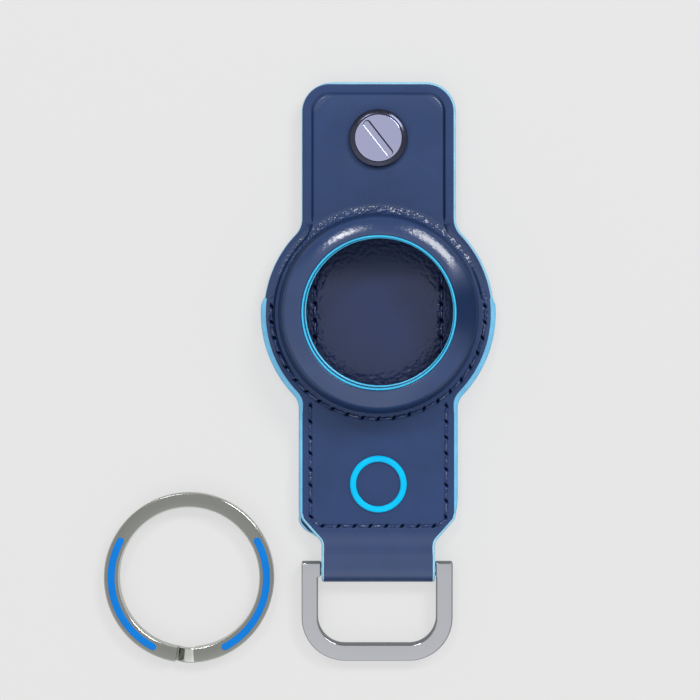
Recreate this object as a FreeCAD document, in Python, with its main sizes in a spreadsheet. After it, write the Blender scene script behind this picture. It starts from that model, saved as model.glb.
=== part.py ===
import FreeCAD
import Part
import Sketcher
import math
import os
import re

# Leather holder for a coin-shaped tracker tag, lying on its back beside its split key ring.
# The origin lies on the resting plane under the centre of the round pocket. +Y points to the
# screw end, +X to the right and +Z out of the front. All lengths are millimetres, angles degrees.
SIZES = {
    # Leather, lining and the tag that the pocket is moulded for
    "leather": 1.2,
    "lining": 0.5,
    "tag_diameter": 31.9,
    "tag_height": 8.0,
    "tag_clearance": 0.15,
    # Moulded dome, the flange round it and its window
    "flange": 2.4,
    "dome_shoulder": 1.6,
    "dome_root": 0.7,
    "window_lip": 2.75,
    "window_bead": 0.7,
    # Flap above the dome
    "bend_rise": 0.4,
    "bend_gap": 0.1,
    "flap_length": 20.0,
    "flap_corner": 5.1,
    # Neck, shoulders, strap and tongue below it
    "neck_width": 27.0,
    "neck_blend": 4.0,
    "neck_reach": 36.0,
    "shoulder_angle": 48.621478,
    "shoulder_round": 2.0,
    "back_overlap": 3.0,
    "strap_width": 19.6,
    "strap_flat": 1.0,
    "strap_rise_run": 3.8,
    "tongue_inset": 0.75,
    "tongue_reach": 11.0,
    "tongue_corner": 4.0,
    # Painted edges
    "paint_coat": 0.25,
    "seam_bead": 0.55,
    "seam_start": 2.7,
    # Stitching
    "stitch_pitch": 2.85,
    "stitch_length": 2.0,
    "stitch_width": 0.55,
    "stitch_height": 0.2,
    "seam_inset": 1.55,
    "disc_seam_gap": 0.45,
    "disc_seam_rise_angle": 4.0,
    "row_drop": 1.4,
    # Screw, its bevelled collar and the threaded post behind
    "screw_inset": 9.8,
    "head_diameter": 8.25,
    "head_height": 1.05,
    "head_edge": 0.15,
    "head_clearance": 0.06,
    "slot_margin": 0.325,
    "slot_width": 1.2,
    "slot_depth": 0.5,
    "slot_angle": -52.0,
    "shank_diameter": 3.2,
    "shank_tip_gap": 0.6,
    "collar_height": 1.3,
    "collar_floor": 0.4,
    "collar_land": 0.165,
    "collar_bevel": 0.75,
    "collar_clearance": 0.6,
    "thread_depth": 0.4,
    "barrel_wall": 0.5,
    "barrel_floor": 0.8,
    "barrel_drop": 0.15,
    "barrel_clearance": 0.35,
    "post_rim": 2.6,
    "post_round": 0.5,
    # D-ring
    "bar_diameter": 2.1,
    "bar_clearance": 0.08,
    "ring_clearance": 0.65,
    "ring_band": 2.85,
    "ring_thick": 2.8,
    "ring_drop": 16.2,
    "ring_corner": 7.65,
    "ring_edge": 0.35,
    # Split key ring
    "split_space": 5.1,
    "split_drop": 1.6,
    "split_outer": 30.0,
    "split_band": 2.6,
    "split_thick": 1.4,
    "split_gap": 0.15,
    "step_low_angle": 262.0,
    "step_high_angle": 273.5,
    "free_end_angle": 1.4,
    "enamel_margin": 0.675,
    "enamel_depth": 0.35,
    "enamel_low_angle": -65.0,
    "enamel_high_angle": 31.0,
    # Plain ring badge
    "badge_outer": 10.0,
    "badge_stroke": 1.1,
    "badge_height": 0.6,
    "badge_rise": 6.0,
}

# Heights of the layers above the resting plane
BACK_UNDER = "leather"
FRONT_UNDER = "(2 * leather)"
FRONT_TOP = "(3 * leather)"
POCKET_TOP = f"({FRONT_UNDER} + tag_height + tag_clearance)"
CROWN_UNDER = f"({POCKET_TOP} + lining)"
CROWN = f"({CROWN_UNDER} + leather)"
BAR_HEIGHT = "(bar_diameter / 2 + bar_clearance + leather)"

# Radii about the pocket's axis
POCKET_RADIUS = "(tag_diameter / 2 + tag_clearance)"
WINDOW_RADIUS = f"({POCKET_RADIUS} - window_lip)"
DOME_INSIDE = f"({POCKET_RADIUS} + lining)"
DOME_RADIUS = f"({DOME_INSIDE} + leather)"
DOME_INSIDE_ROUND = "(dome_shoulder - leather)"
DISC_SEAM = f"({DOME_RADIUS} + dome_root + disc_seam_gap)"
DISC = f"({DOME_RADIUS} + flange)"

# Half widths across the holder
NECK = "(neck_width / 2)"
STRAP = "(strap_width / 2)"
TONGUE = f"({NECK} - tongue_inset)"
BACK_END = f"({NECK} - back_overlap / tan(shoulder_angle))"
RING_INSIDE = f"({STRAP} + ring_clearance)"
RING_OUTSIDE = f"({RING_INSIDE} + ring_band)"

# Places along the holder, above and below the pocket's axis
BEND_LINE = f"({DISC} + bend_rise)"
PANEL_HIGH = f"({BEND_LINE} - bend_gap / 2)"
FLAP_LOW = f"({BEND_LINE} + bend_gap / 2)"
FLAP_TOP = f"({BEND_LINE} + flap_length)"
SCREW_PLACE = f"({FLAP_TOP} - screw_inset)"
SHOULDER_END = f"(neck_reach + ({NECK} - {STRAP}) * tan(shoulder_angle))"
BACK_LOW = "(neck_reach + back_overlap)"
RISE_START = f"({SHOULDER_END} + strap_flat)"
BAR_PLACE = f"({RISE_START} + strap_rise_run)"
BADGE_PLACE = "(neck_reach - badge_rise)"

# Radii of the screw's pieces
HEAD_BORE = "(head_diameter / 2 + head_clearance)"
COLLAR_TOP = f"({HEAD_BORE} + collar_land)"
COLLAR_RADIUS = f"({COLLAR_TOP} + collar_bevel)"
COLLAR_HOLE = "(shank_diameter / 2 + collar_clearance)"
BARREL_BORE = "(shank_diameter / 2 + thread_depth)"
BARREL = f"({BARREL_BORE} + barrel_wall)"
BARREL_HOLE = f"({BARREL} + barrel_clearance)"
POST_FLANGE = f"({BARREL} + post_rim)"
SHANK_LENGTH = f"({FRONT_TOP} + collar_floor - barrel_floor - shank_tip_gap)"

# Split ring: radii, upper turn and centre
SPLIT = "(split_outer / 2)"
SPLIT_INSIDE = f"({SPLIT} - split_band)"
UPPER_TURN = "(split_thick + split_gap)"
SPLIT_FACE = f"({UPPER_TURN} + split_thick)"
SPLIT_LEFT = f"({RING_OUTSIDE} + split_space + {SPLIT})"
SPLIT_BELOW = f"({BAR_PLACE} + split_drop)"

doc = FreeCAD.newDocument("TagHolder")
sheet = doc.addObject("Spreadsheet::Sheet", "Sizes")
for row, (alias, number) in enumerate(SIZES.items(), start=1):
    sheet.set(f"A{row}", alias)
    sheet.set(f"B{row}", str(number))
    sheet.setAlias(f"B{row}", alias)
doc.recompute()

pieces = []


def sheet_terms(text):
    """Write an expression's size names as cells of the sheet."""
    return re.sub(r"[a-z_]+", lambda word: f"Sizes.{word[0]}" if word[0] in SIZES else word[0], text)


def size(text):
    """Value of an expression of the sheet's sizes."""
    return float(sheet.evalExpression(sheet_terms(text)))


def bind(thing, target, text):
    """Tie one property of an object to an expression of the sheet's sizes."""
    thing.setExpression(target, sheet_terms(text))


def keep(thing, label):
    """Name a finished sub-part, which is written to a file of that name."""
    thing.Label = label
    pieces.append(thing)
    return thing


def new_body(name):
    return doc.addObject("PartDesign::Body", name)


def new_sketch(body, name, role="XY_Plane", lift="0", turn="0"):
    """Sketch on an origin plane of its body, lifted along the plane's normal and turned about its up axis."""
    plane = next(feature for feature in body.Origin.OriginFeatures if feature.Role == role)
    sketch = body.newObject("Sketcher::SketchObject", name)
    sketch.AttachmentSupport = [(plane, "")]
    sketch.MapMode = "FlatFace"
    if turn != "0":
        sketch.AttachmentOffset = FreeCAD.Placement(
            FreeCAD.Vector(0, 0, 0), FreeCAD.Rotation(FreeCAD.Vector(0, 1, 0), size(turn)))
        bind(sketch, "AttachmentOffset.Rotation.Angle", turn)
    if lift != "0":
        bind(sketch, "AttachmentOffset.Base.z", lift)
    return sketch


def hold_point(sketch, side, point, across, up):
    """Hold one point of a sketched side at a place given by two expressions."""
    for kind, axis, text in (("DistanceX", -2, across), ("DistanceY", -1, up)):
        value = size(text)
        if text == "0":
            sketch.addConstraint(Sketcher.Constraint("PointOnObject", side, point, axis))
        elif value > 0:
            index = sketch.addConstraint(Sketcher.Constraint(kind, -1, 1, side, point, value))
            bind(sketch, f"Constraints[{index}]", text)
        else:
            index = sketch.addConstraint(Sketcher.Constraint(kind, side, point, -1, 1, -value))
            bind(sketch, f"Constraints[{index}]", f"-({text})")


def arc_between(start, end, radius, turns_left):
    """Arc of less than half a circle from start to end, turning left or right on the way."""
    chord = end - start
    middle = (start + end) / 2
    rise = math.sqrt(max(radius ** 2 - (chord.Length / 2) ** 2, 0))
    left = FreeCAD.Vector(-chord.y, chord.x, 0).normalize()
    centre = middle + left * (rise if turns_left else -rise)
    first, last = (start, end) if turns_left else (end, start)
    angles = [math.atan2(spot.y - centre.y, spot.x - centre.x) for spot in (first, last)]
    circle = Part.Circle(centre, FreeCAD.Vector(0, 0, 1), radius)
    return Part.ArcOfCircle(circle, angles[0], angles[1])


def draw_path(sketch, corners, arcs=None, closed=True):
    """Straight sides from corner to corner. A side numbered in arcs is an arc (radius, left or right)."""
    arcs = arcs or {}
    spots = [FreeCAD.Vector(size(across), size(up), 0) for across, up in corners]
    count = len(corners) if closed else len(corners) - 1
    sides = []
    for number in range(count):
        start, end = spots[number], spots[(number + 1) % len(spots)]
        if number in arcs:
            radius, turn = arcs[number]
            left = turn == "left"
            side = sketch.addGeometry(arc_between(start, end, size(radius), left), False)
            sides.append((side, 1 if left else 2, 2 if left else 1))
        else:
            side = sketch.addGeometry(Part.LineSegment(start, end), False)
            sides.append((side, 1, 2))
    for number, (side, first, last) in enumerate(sides):
        across, up = corners[number]
        hold_point(sketch, side, first, across, up)
        if closed or number + 1 < count:
            following, begin, _ = sides[(number + 1) % count]
            sketch.addConstraint(Sketcher.Constraint("Coincident", side, last, following, begin))
        else:
            across, up = corners[number + 1]
            hold_point(sketch, side, last, across, up)
        if number in arcs:
            radius = arcs[number][0]
            index = sketch.addConstraint(Sketcher.Constraint("Radius", side, size(radius)))
            bind(sketch, f"Constraints[{index}]", radius)


def draw_circle(sketch, radius, across="0", up="0"):
    centre = FreeCAD.Vector(size(across), size(up), 0)
    side = sketch.addGeometry(Part.Circle(centre, FreeCAD.Vector(0, 0, 1), size(radius)), False)
    hold_point(sketch, side, 3, across, up)
    index = sketch.addConstraint(Sketcher.Constraint("Radius", side, size(radius)))
    bind(sketch, f"Constraints[{index}]", radius)


def mirrored(corners):
    """Corners of the right half from top to bottom, closed by their mirror image on the left."""
    left = [(f"-{across}", up) for across, up in reversed(corners)]
    return corners + left


def pad(body, sketch, length, symmetric=False):
    feature = body.newObject("PartDesign::Pad", f"{sketch.Name}Pad")
    feature.Profile = sketch
    feature.SideType = "Symmetric" if symmetric else "One side"
    bind(feature, "Length", length)
    doc.recompute()
    return feature


def pocket(body, sketch, length):
    """Cut from the sketch's plane down into the body, and make sure that something was cut."""
    before = body.Shape.Volume
    feature = body.newObject("PartDesign::Pocket", f"{sketch.Name}Pocket")
    feature.Profile = sketch
    bind(feature, "Length", length)
    doc.recompute()
    if not body.Shape.Volume < before:
        raise RuntimeError(f"{feature.Name} cuts nothing")
    return feature


def revolve(body, sketch, sweep=None):
    """Turn a profile about the sketch's upright axis, all round or by an angle."""
    feature = body.newObject("PartDesign::Revolution", f"{sketch.Name}Revolution")
    feature.Profile = sketch
    feature.ReferenceAxis = (sketch, ["V_Axis"])
    if sweep:
        bind(feature, "Angle", sweep)
    doc.recompute()
    return feature


def round_edges(body, feature, edges, radius):
    fillet = body.newObject("PartDesign::Fillet", f"{feature.Name}Round")
    fillet.Base = (feature, edges)
    bind(fillet, "Radius", radius)
    doc.recompute()
    return fillet


def upright_edges(feature, spots):
    """Names of the upright edges nearest to the given places of the plan."""
    upright = {}
    for number, edge in enumerate(feature.Shape.Edges, start=1):
        ends = [vertex.Point for vertex in edge.Vertexes]
        if len(ends) == 2 and math.hypot(ends[0].x - ends[1].x, ends[0].y - ends[1].y) < edge.Length / 2:
            upright[f"Edge{number}"] = ends[0]
    names = []
    for across, up in spots:
        place = (size(across), size(up))
        names.append(min(upright, key=lambda name: math.dist(place, (upright[name].x, upright[name].y))))
    return names


def both_sides(across, up):
    return [(across, up), (f"-{across}", up)]


def blend_spots(radius, half_width):
    """Places where the neck's sides run into the round body."""
    rise = f"sqrt({radius}^2 - {half_width}^2)"
    return both_sides(half_width, rise) + both_sides(half_width, f"-{rise}")


def make_back_panel():
    """Back leather: round body, back flap and neck in one flat piece."""
    body = new_body("BackPanel")
    disc = new_sketch(body, "BackDisc", lift=BACK_UNDER)
    draw_circle(disc, DISC)
    pad(body, disc, "leather")
    neck = new_sketch(body, "BackNeck", lift=BACK_UNDER)
    draw_path(neck, mirrored([(NECK, FLAP_TOP), (NECK, "-neck_reach"), (BACK_END, f"-{BACK_LOW}")]))
    plan = pad(body, neck, "leather")
    plan = round_edges(body, plan, upright_edges(plan, blend_spots(DISC, NECK)), "neck_blend")
    corners = upright_edges(plan, both_sides(NECK, FLAP_TOP))
    plan = round_edges(body, plan, corners, "flap_corner")
    hole = new_sketch(body, "BackHole", lift=FRONT_UNDER)
    draw_circle(hole, BARREL_HOLE, up=SCREW_PLACE)
    pocket(body, hole, "leather")
    return keep(body, "back_panel")


def make_front_flap():
    """Free end of the front leather, which lifts off the post."""
    body = new_body("FrontFlap")
    outline = new_sketch(body, "FlapOutline", lift=FRONT_UNDER)
    draw_path(outline, mirrored([(NECK, FLAP_TOP), (NECK, FLAP_LOW)]))
    plan = pad(body, outline, "leather")
    corners = upright_edges(plan, both_sides(NECK, FLAP_TOP))
    round_edges(body, plan, corners, "flap_corner")
    hole = new_sketch(body, "FlapHole", lift=FRONT_TOP)
    draw_circle(hole, BARREL_HOLE, up=SCREW_PLACE)
    pocket(body, hole, "leather")
    return keep(body, "front_flap")


def make_front_leather():
    """Front leather: moulded dome, neck, the fold round the bar and the tongue that returns behind."""
    body = new_body("FrontLeather")
    disc = new_sketch(body, "FrontDisc", lift=FRONT_UNDER)
    draw_circle(disc, DISC)
    pad(body, disc, "leather")
    neck = new_sketch(body, "FrontNeck", lift=FRONT_UNDER)
    draw_path(neck, mirrored([(NECK, PANEL_HIGH), (NECK, "-neck_reach"),
                              (STRAP, f"-{SHOULDER_END}"), (STRAP, f"-{RISE_START}")]))
    plan = pad(body, neck, "leather")
    plan = round_edges(body, plan, upright_edges(plan, blend_spots(DISC, NECK)), "neck_blend")
    shoulders = both_sides(NECK, "-neck_reach") + both_sides(STRAP, f"-{SHOULDER_END}")
    round_edges(body, plan, upright_edges(plan, shoulders), "shoulder_round")
    mouth = new_sketch(body, "DomeMouth", lift=FRONT_TOP)
    draw_circle(mouth, DOME_INSIDE)
    pocket(body, mouth, "leather")
    dome = new_sketch(body, "DomeProfile", "XZ_Plane")
    draw_path(dome, [
        (DOME_INSIDE, FRONT_UNDER),
        (f"{DOME_RADIUS} + dome_root", FRONT_UNDER),
        (f"{DOME_RADIUS} + dome_root", FRONT_TOP),
        (DOME_RADIUS, f"{FRONT_TOP} + dome_root"),
        (DOME_RADIUS, f"{CROWN} - dome_shoulder"),
        (f"{DOME_RADIUS} - dome_shoulder", CROWN),
        (WINDOW_RADIUS, CROWN),
        (WINDOW_RADIUS, CROWN_UNDER),
        (f"{DOME_INSIDE} - {DOME_INSIDE_ROUND}", CROWN_UNDER),
        (DOME_INSIDE, f"{CROWN_UNDER} - {DOME_INSIDE_ROUND}"),
    ], {2: ("dome_root", "right"), 4: ("dome_shoulder", "left"), 8: (DOME_INSIDE_ROUND, "right")})
    revolve(body, dome)
    add_fold(body)
    add_tongue(body)
    return keep(body, "front_leather")


def add_fold(body):
    """Strap end that rises in an S and wraps half way round the bar."""
    middle = "(bar_diameter / 2 + bar_clearance + leather / 2)"
    start_height = "(5 * leather / 2)"
    top = f"({BAR_HEIGHT} + {middle})"
    rise = f"({top} - {start_height})"
    bend = f"((strap_rise_run^2 + {rise}^2) / (4 * {rise}))"
    path = new_sketch(body, "FoldPath", "YZ_Plane")
    draw_path(path, [
        (f"-{RISE_START}", start_height),
        (f"-({RISE_START} + {BAR_PLACE}) / 2", f"({start_height} + {top}) / 2"),
        (f"-{BAR_PLACE}", top),
        (f"-({BAR_PLACE} + {middle})", BAR_HEIGHT),
        (f"-{BAR_PLACE}", f"{BAR_HEIGHT} - {middle}"),
    ], {0: (bend, "right"), 1: (bend, "left"), 2: (middle, "left"), 3: (middle, "left")}, closed=False)
    section = new_sketch(body, "FoldSection", "XZ_Plane", lift=RISE_START)
    draw_path(section, mirrored([(STRAP, FRONT_TOP), (STRAP, FRONT_UNDER)]))
    pipe = body.newObject("PartDesign::AdditivePipe", "Fold")
    pipe.Profile = section
    pipe.Spine = path
    doc.recompute()


def add_tongue(body):
    """Back return of the strap, sewn flat on the back panel."""
    tongue = new_sketch(body, "TongueOutline")
    draw_path(tongue, mirrored([(TONGUE, "tongue_reach"), (TONGUE, "-neck_reach"),
                                (STRAP, f"-{SHOULDER_END}"), (STRAP, f"-{BAR_PLACE}")]))
    plan = pad(body, tongue, "leather")
    corners = upright_edges(plan, both_sides(TONGUE, "tongue_reach"))
    round_edges(body, plan, corners, "tongue_corner")


def make_dome_lining():
    """Thin moulded lining inside the dome."""
    body = new_body("DomeLining")
    profile = new_sketch(body, "LiningProfile", "XZ_Plane")
    draw_path(profile, [
        (POCKET_RADIUS, FRONT_UNDER),
        (DOME_INSIDE, FRONT_UNDER),
        (DOME_INSIDE, f"{CROWN_UNDER} - {DOME_INSIDE_ROUND}"),
        (f"{DOME_INSIDE} - {DOME_INSIDE_ROUND}", CROWN_UNDER),
        (WINDOW_RADIUS, CROWN_UNDER),
        (WINDOW_RADIUS, POCKET_TOP),
        (POCKET_RADIUS, POCKET_TOP),
    ], {2: (DOME_INSIDE_ROUND, "left")})
    revolve(body, profile)
    return keep(body, "dome_lining")


def make_window_edge_paint():
    """Painted cut edge round the window, over leather and lining."""
    body = new_body("WindowEdge")
    profile = new_sketch(body, "WindowEdgeProfile", "XZ_Plane")
    draw_path(profile, [
        (WINDOW_RADIUS, POCKET_TOP),
        (WINDOW_RADIUS, CROWN),
        (f"{WINDOW_RADIUS} - window_bead", CROWN_UNDER),
        (f"{WINDOW_RADIUS} - window_bead", POCKET_TOP),
    ], {1: ("leather", "left")})
    revolve(body, profile)
    return keep(body, "window_edge_paint")


def make_plan_blank(name, grow):
    """Full plan of front and back leather together, grown outwards by a coat of paint."""
    body = new_body(name)
    height = f"({FRONT_TOP} - {BACK_UNDER})"
    radius = f"({DISC} + {grow})"
    half_width = f"({NECK} + {grow})"
    top = f"({FLAP_TOP} + {grow})"
    disc = new_sketch(body, f"{name}Disc", lift=BACK_UNDER)
    draw_circle(disc, radius)
    pad(body, disc, height)
    neck = new_sketch(body, f"{name}Neck", lift=BACK_UNDER)
    draw_path(neck, mirrored([(half_width, top), (half_width, "-neck_reach")]))
    plan = pad(body, neck, height)
    blends = upright_edges(plan, blend_spots(radius, half_width))
    plan = round_edges(body, plan, blends, f"neck_blend - {grow}")
    corners = upright_edges(plan, both_sides(half_width, top))
    round_edges(body, plan, corners, f"flap_corner + {grow}")
    return body


def make_band(label, ring, coat, low, high, bottom, top):
    """Stretch of a painted edge between two places along the holder and two heights."""
    name = "".join(word.capitalize() for word in label.split("_"))
    reach = f"({DISC} + {coat})"
    limits = doc.addObject("Part::Box", f"{name}Limits")
    bind(limits, "Length", f"2 * {reach}")
    bind(limits, "Width", f"{high} - {low}")
    bind(limits, "Height", f"{top} - {bottom}")
    bind(limits, "Placement.Base.x", f"-{reach}")
    bind(limits, "Placement.Base.y", low)
    bind(limits, "Placement.Base.z", bottom)
    band = doc.addObject("Part::Common", name)
    band.Base = ring
    band.Tool = limits
    return keep(band, label)


def make_edge_paint():
    """Blue painted edges: a thin coat where front and back part, one thick bead where they are sewn."""
    rings = {}
    for coat in ("paint_coat", "seam_bead"):
        name = "".join(word.capitalize() for word in coat.split("_"))
        ring = doc.addObject("Part::Cut", f"{name}Ring")
        ring.Base = make_plan_blank(f"{name}Outer", coat)
        ring.Tool = make_plan_blank(f"{name}Inner", "0")
        rings[coat] = ring
    coat = rings["paint_coat"]
    flap_top = f"({FLAP_TOP} + paint_coat)"
    make_band("flap_edge_paint", coat, "paint_coat", FLAP_LOW, flap_top, FRONT_UNDER, FRONT_TOP)
    make_band("front_edge_paint", coat, "paint_coat", "seam_start", PANEL_HIGH, FRONT_UNDER, FRONT_TOP)
    make_band("back_edge_paint", coat, "paint_coat", "seam_start", flap_top, BACK_UNDER, FRONT_UNDER)
    make_band("seam_edge_paint", rings["seam_bead"], "seam_bead", "-neck_reach", "seam_start",
              BACK_UNDER, FRONT_TOP)


def stitch(spot, heading):
    """One stitch: a low round-backed bar of thread on the leather."""
    half_width = size("stitch_width / 2")
    half_length = size("stitch_length / 2")
    left = FreeCAD.Vector(0, half_width, 0)
    crest = FreeCAD.Vector(0, 0, size("stitch_height"))
    back = Part.Arc(-left, crest, left).toShape()
    section = Part.Face(Part.Wire([back, Part.LineSegment(left, -left).toShape()]))
    bar = section.extrude(FreeCAD.Vector(2 * half_length, 0, 0))
    bar.translate(FreeCAD.Vector(-half_length, 0, 0))
    bar.rotate(FreeCAD.Vector(0, 0, 0), FreeCAD.Vector(0, 0, 1), math.degrees(heading))
    bar.translate(spot)
    return bar


def stitch_line(points, height):
    """Evenly spaced stitches along straight runs from point to point."""
    runs = list(zip(points, points[1:]))
    total = sum(math.dist(start, end) for start, end in runs)
    count = max(round(total / size("stitch_pitch")), 1)
    bars = []
    for number in range(count):
        along = total * (2 * number + 1) / (2 * count)
        for start, end in runs:
            length = math.dist(start, end)
            if along <= length:
                break
            along -= length
        share = along / length
        spot = [a + (b - a) * share for a, b in zip(start, end)]
        heading = math.atan2(end[1] - start[1], end[0] - start[0])
        bars.append(stitch(FreeCAD.Vector(spot[0], spot[1], height), heading))
    return bars


def keep_stitches(name, label, bars):
    thread = doc.addObject("Part::Feature", name)
    thread.Shape = Part.makeCompound(bars)
    thread.Placement = FreeCAD.Placement()
    keep(thread, label)


def make_threads():
    """Seams: round the lower half of the disc, round the neck, and the tongue's two columns in the pocket."""
    radius = size(DISC_SEAM)
    rise = math.radians(size("disc_seam_rise_angle"))
    sweep = math.pi + 2 * rise
    count = max(round(sweep * radius / size("stitch_pitch")), 1)
    bars = []
    for number in range(count):
        angle = math.pi - rise + sweep * (2 * number + 1) / (2 * count)
        spot = FreeCAD.Vector(radius * math.cos(angle), radius * math.sin(angle), size(FRONT_TOP))
        bars.append(stitch(spot, angle + math.pi / 2))
    column = size(f"{NECK} - seam_inset")
    row = size("row_drop")
    high = -math.sqrt(radius ** 2 - column ** 2) - size("stitch_pitch / 2")
    low = -size("neck_reach")
    path = [(-column, high), (-column, low), (row - column, low - row),
            (column - row, low - row), (column, low), (column, high)]
    bars += stitch_line(path, size(FRONT_TOP))
    keep_stitches("SeamThread", "seam_thread", bars)
    column = size(f"{TONGUE} - seam_inset")
    half_chord = math.sqrt(size(POCKET_RADIUS) ** 2 - column ** 2) - size("stitch_pitch / 2")
    high = min(size("tongue_reach - seam_inset"), half_chord)
    bars = []
    for side in (-column, column):
        bars += stitch_line([(side, -half_chord), (side, high)], size(FRONT_UNDER))
    keep_stitches("TongueThread", "tongue_thread", bars)


def place(body, across, up, height):
    for axis, text in (("x", across), ("y", up), ("z", height)):
        bind(body, f"Placement.Base.{axis}", text)


def tilt(body, axis, angle):
    body.Placement = FreeCAD.Placement(body.Placement.Base, FreeCAD.Rotation(axis, size(angle)))
    bind(body, "Placement.Rotation.Angle", angle)


def make_screw_collar():
    """Bevelled cup ring under the screw's head."""
    body = new_body("ScrewCollar")
    profile = new_sketch(body, "CollarProfile", "XZ_Plane")
    draw_path(profile, [
        (COLLAR_HOLE, "0"),
        (COLLAR_RADIUS, "0"),
        (COLLAR_RADIUS, "collar_floor"),
        (COLLAR_TOP, "collar_height"),
        (HEAD_BORE, "collar_height"),
        (HEAD_BORE, "collar_floor"),
        (COLLAR_HOLE, "collar_floor"),
    ])
    revolve(body, profile)
    place(body, "0", SCREW_PLACE, FRONT_TOP)
    return keep(body, "screw_collar")


def make_clamp_screw():
    """Flat slotted screw that holds the flap to the post."""
    body = new_body("ClampScrew")
    profile = new_sketch(body, "ScrewProfile", "XZ_Plane")
    draw_path(profile, [
        ("0", f"-{SHANK_LENGTH}"),
        ("shank_diameter / 2", f"-{SHANK_LENGTH}"),
        ("shank_diameter / 2", "0"),
        ("head_diameter / 2", "0"),
        ("head_diameter / 2", "head_height - head_edge"),
        ("head_diameter / 2 - head_edge", "head_height"),
        ("0", "head_height"),
    ])
    revolve(body, profile)
    slot = new_sketch(body, "ScrewSlot", lift="head_height")
    half = "(slot_width / 2)"
    tip = "(head_diameter / 2 - slot_margin)"
    end = f"({tip} - {half})"
    draw_path(slot, [(f"-{end}", f"-{half}"), (end, f"-{half}"), (tip, "0"), (end, half),
                     (f"-{end}", half), (f"-{tip}", "0")],
              {1: (half, "left"), 2: (half, "left"), 4: (half, "left"), 5: (half, "left")})
    pocket(body, slot, "slot_depth")
    place(body, "0", SCREW_PLACE, f"{FRONT_TOP} + collar_floor")
    tilt(body, FreeCAD.Vector(0, 0, 1), "slot_angle")
    return keep(body, "clamp_screw")


def make_screw_post():
    """Threaded post through the leather, its flange level with the tongue behind."""
    body = new_body("ScrewPost")
    profile = new_sketch(body, "PostProfile", "XZ_Plane")
    top = f"({FRONT_TOP} - barrel_drop)"
    draw_path(profile, [
        ("0", "0"),
        (f"{POST_FLANGE} - post_round", "0"),
        (POST_FLANGE, "post_round"),
        (POST_FLANGE, "leather"),
        (BARREL, "leather"),
        (BARREL, top),
        (BARREL_BORE, top),
        (BARREL_BORE, "barrel_floor"),
        ("0", "barrel_floor"),
    ], {1: ("post_round", "left")})
    revolve(body, profile)
    place(body, "0", SCREW_PLACE, "0")
    return keep(body, "screw_post")


def make_d_ring():
    """Flat D-ring on a round bar, its bow drooping to the resting plane."""
    body = new_body("DRing")
    outline = new_sketch(body, "DRingOutline")
    top = "(bar_diameter / 2)"
    corner_centre = f"({RING_OUTSIDE} - ring_corner)"
    corner_start = "(ring_corner - ring_drop)"
    inner_bow = "(ring_band - ring_drop)"
    inner_corner = "(ring_corner - ring_band)"
    right = [(RING_INSIDE, corner_start), (RING_INSIDE, top), (RING_OUTSIDE, top),
             (RING_OUTSIDE, corner_start), (corner_centre, "-ring_drop")]
    left = [(f"-{across}", up) for across, up in reversed(right)]
    bow = [(f"-{corner_centre}", inner_bow), (corner_centre, inner_bow)]
    draw_path(outline, right + left + bow,
              {3: ("ring_corner", "right"), 5: ("ring_corner", "right"),
               9: (inner_corner, "left"), 11: (inner_corner, "left")})
    plate = pad(body, outline, "ring_thick", symmetric=True)
    level = [f"Edge{number}" for number, edge in enumerate(plate.Shape.Edges, start=1)
             if edge.BoundBox.ZLength < size("ring_thick / 2")]
    round_edges(body, plate, level, "ring_edge")
    bar = new_sketch(body, "DRingBar", "YZ_Plane")
    draw_circle(bar, "bar_diameter / 2")
    pad(body, bar, f"2 * {RING_INSIDE} + ring_band", symmetric=True)
    place(body, "0", f"-{BAR_PLACE}", BAR_HEIGHT)
    reach = "(ring_drop - ring_edge)"
    depth = f"({BAR_HEIGHT} - ring_edge)"
    half = "(ring_thick / 2 - ring_edge)"
    droop = f"(asin({depth} / sqrt({reach}^2 + {half}^2)) - atan2({half}; {reach}))"
    tilt(body, FreeCAD.Vector(1, 0, 0), droop)
    return keep(body, "d_ring")


def draw_turn_section(sketch, low):
    high = f"({low} + split_thick)"
    draw_path(sketch, [(SPLIT_INSIDE, low), (SPLIT, low), (SPLIT, high), (SPLIT_INSIDE, high)])


def draw_enamel_arc(sketch, side):
    """Stretch of the ring's face that holds enamel, on the right (1) or the left (-1)."""
    outer = f"({SPLIT} - enamel_margin)"
    inner = f"({SPLIT_INSIDE} + enamel_margin)"
    sign = "" if side > 0 else "-"
    ends = [(outer, "enamel_low_angle"), (outer, "enamel_high_angle"),
            (inner, "enamel_high_angle"), (inner, "enamel_low_angle")]
    corners = [(f"{sign}{radius} * cos({angle})", f"{radius} * sin({angle})") for radius, angle in ends]
    turns = ("left", "right") if side > 0 else ("right", "left")
    draw_path(sketch, corners, {0: (outer, turns[0]), 2: (inner, turns[1])})


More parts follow.
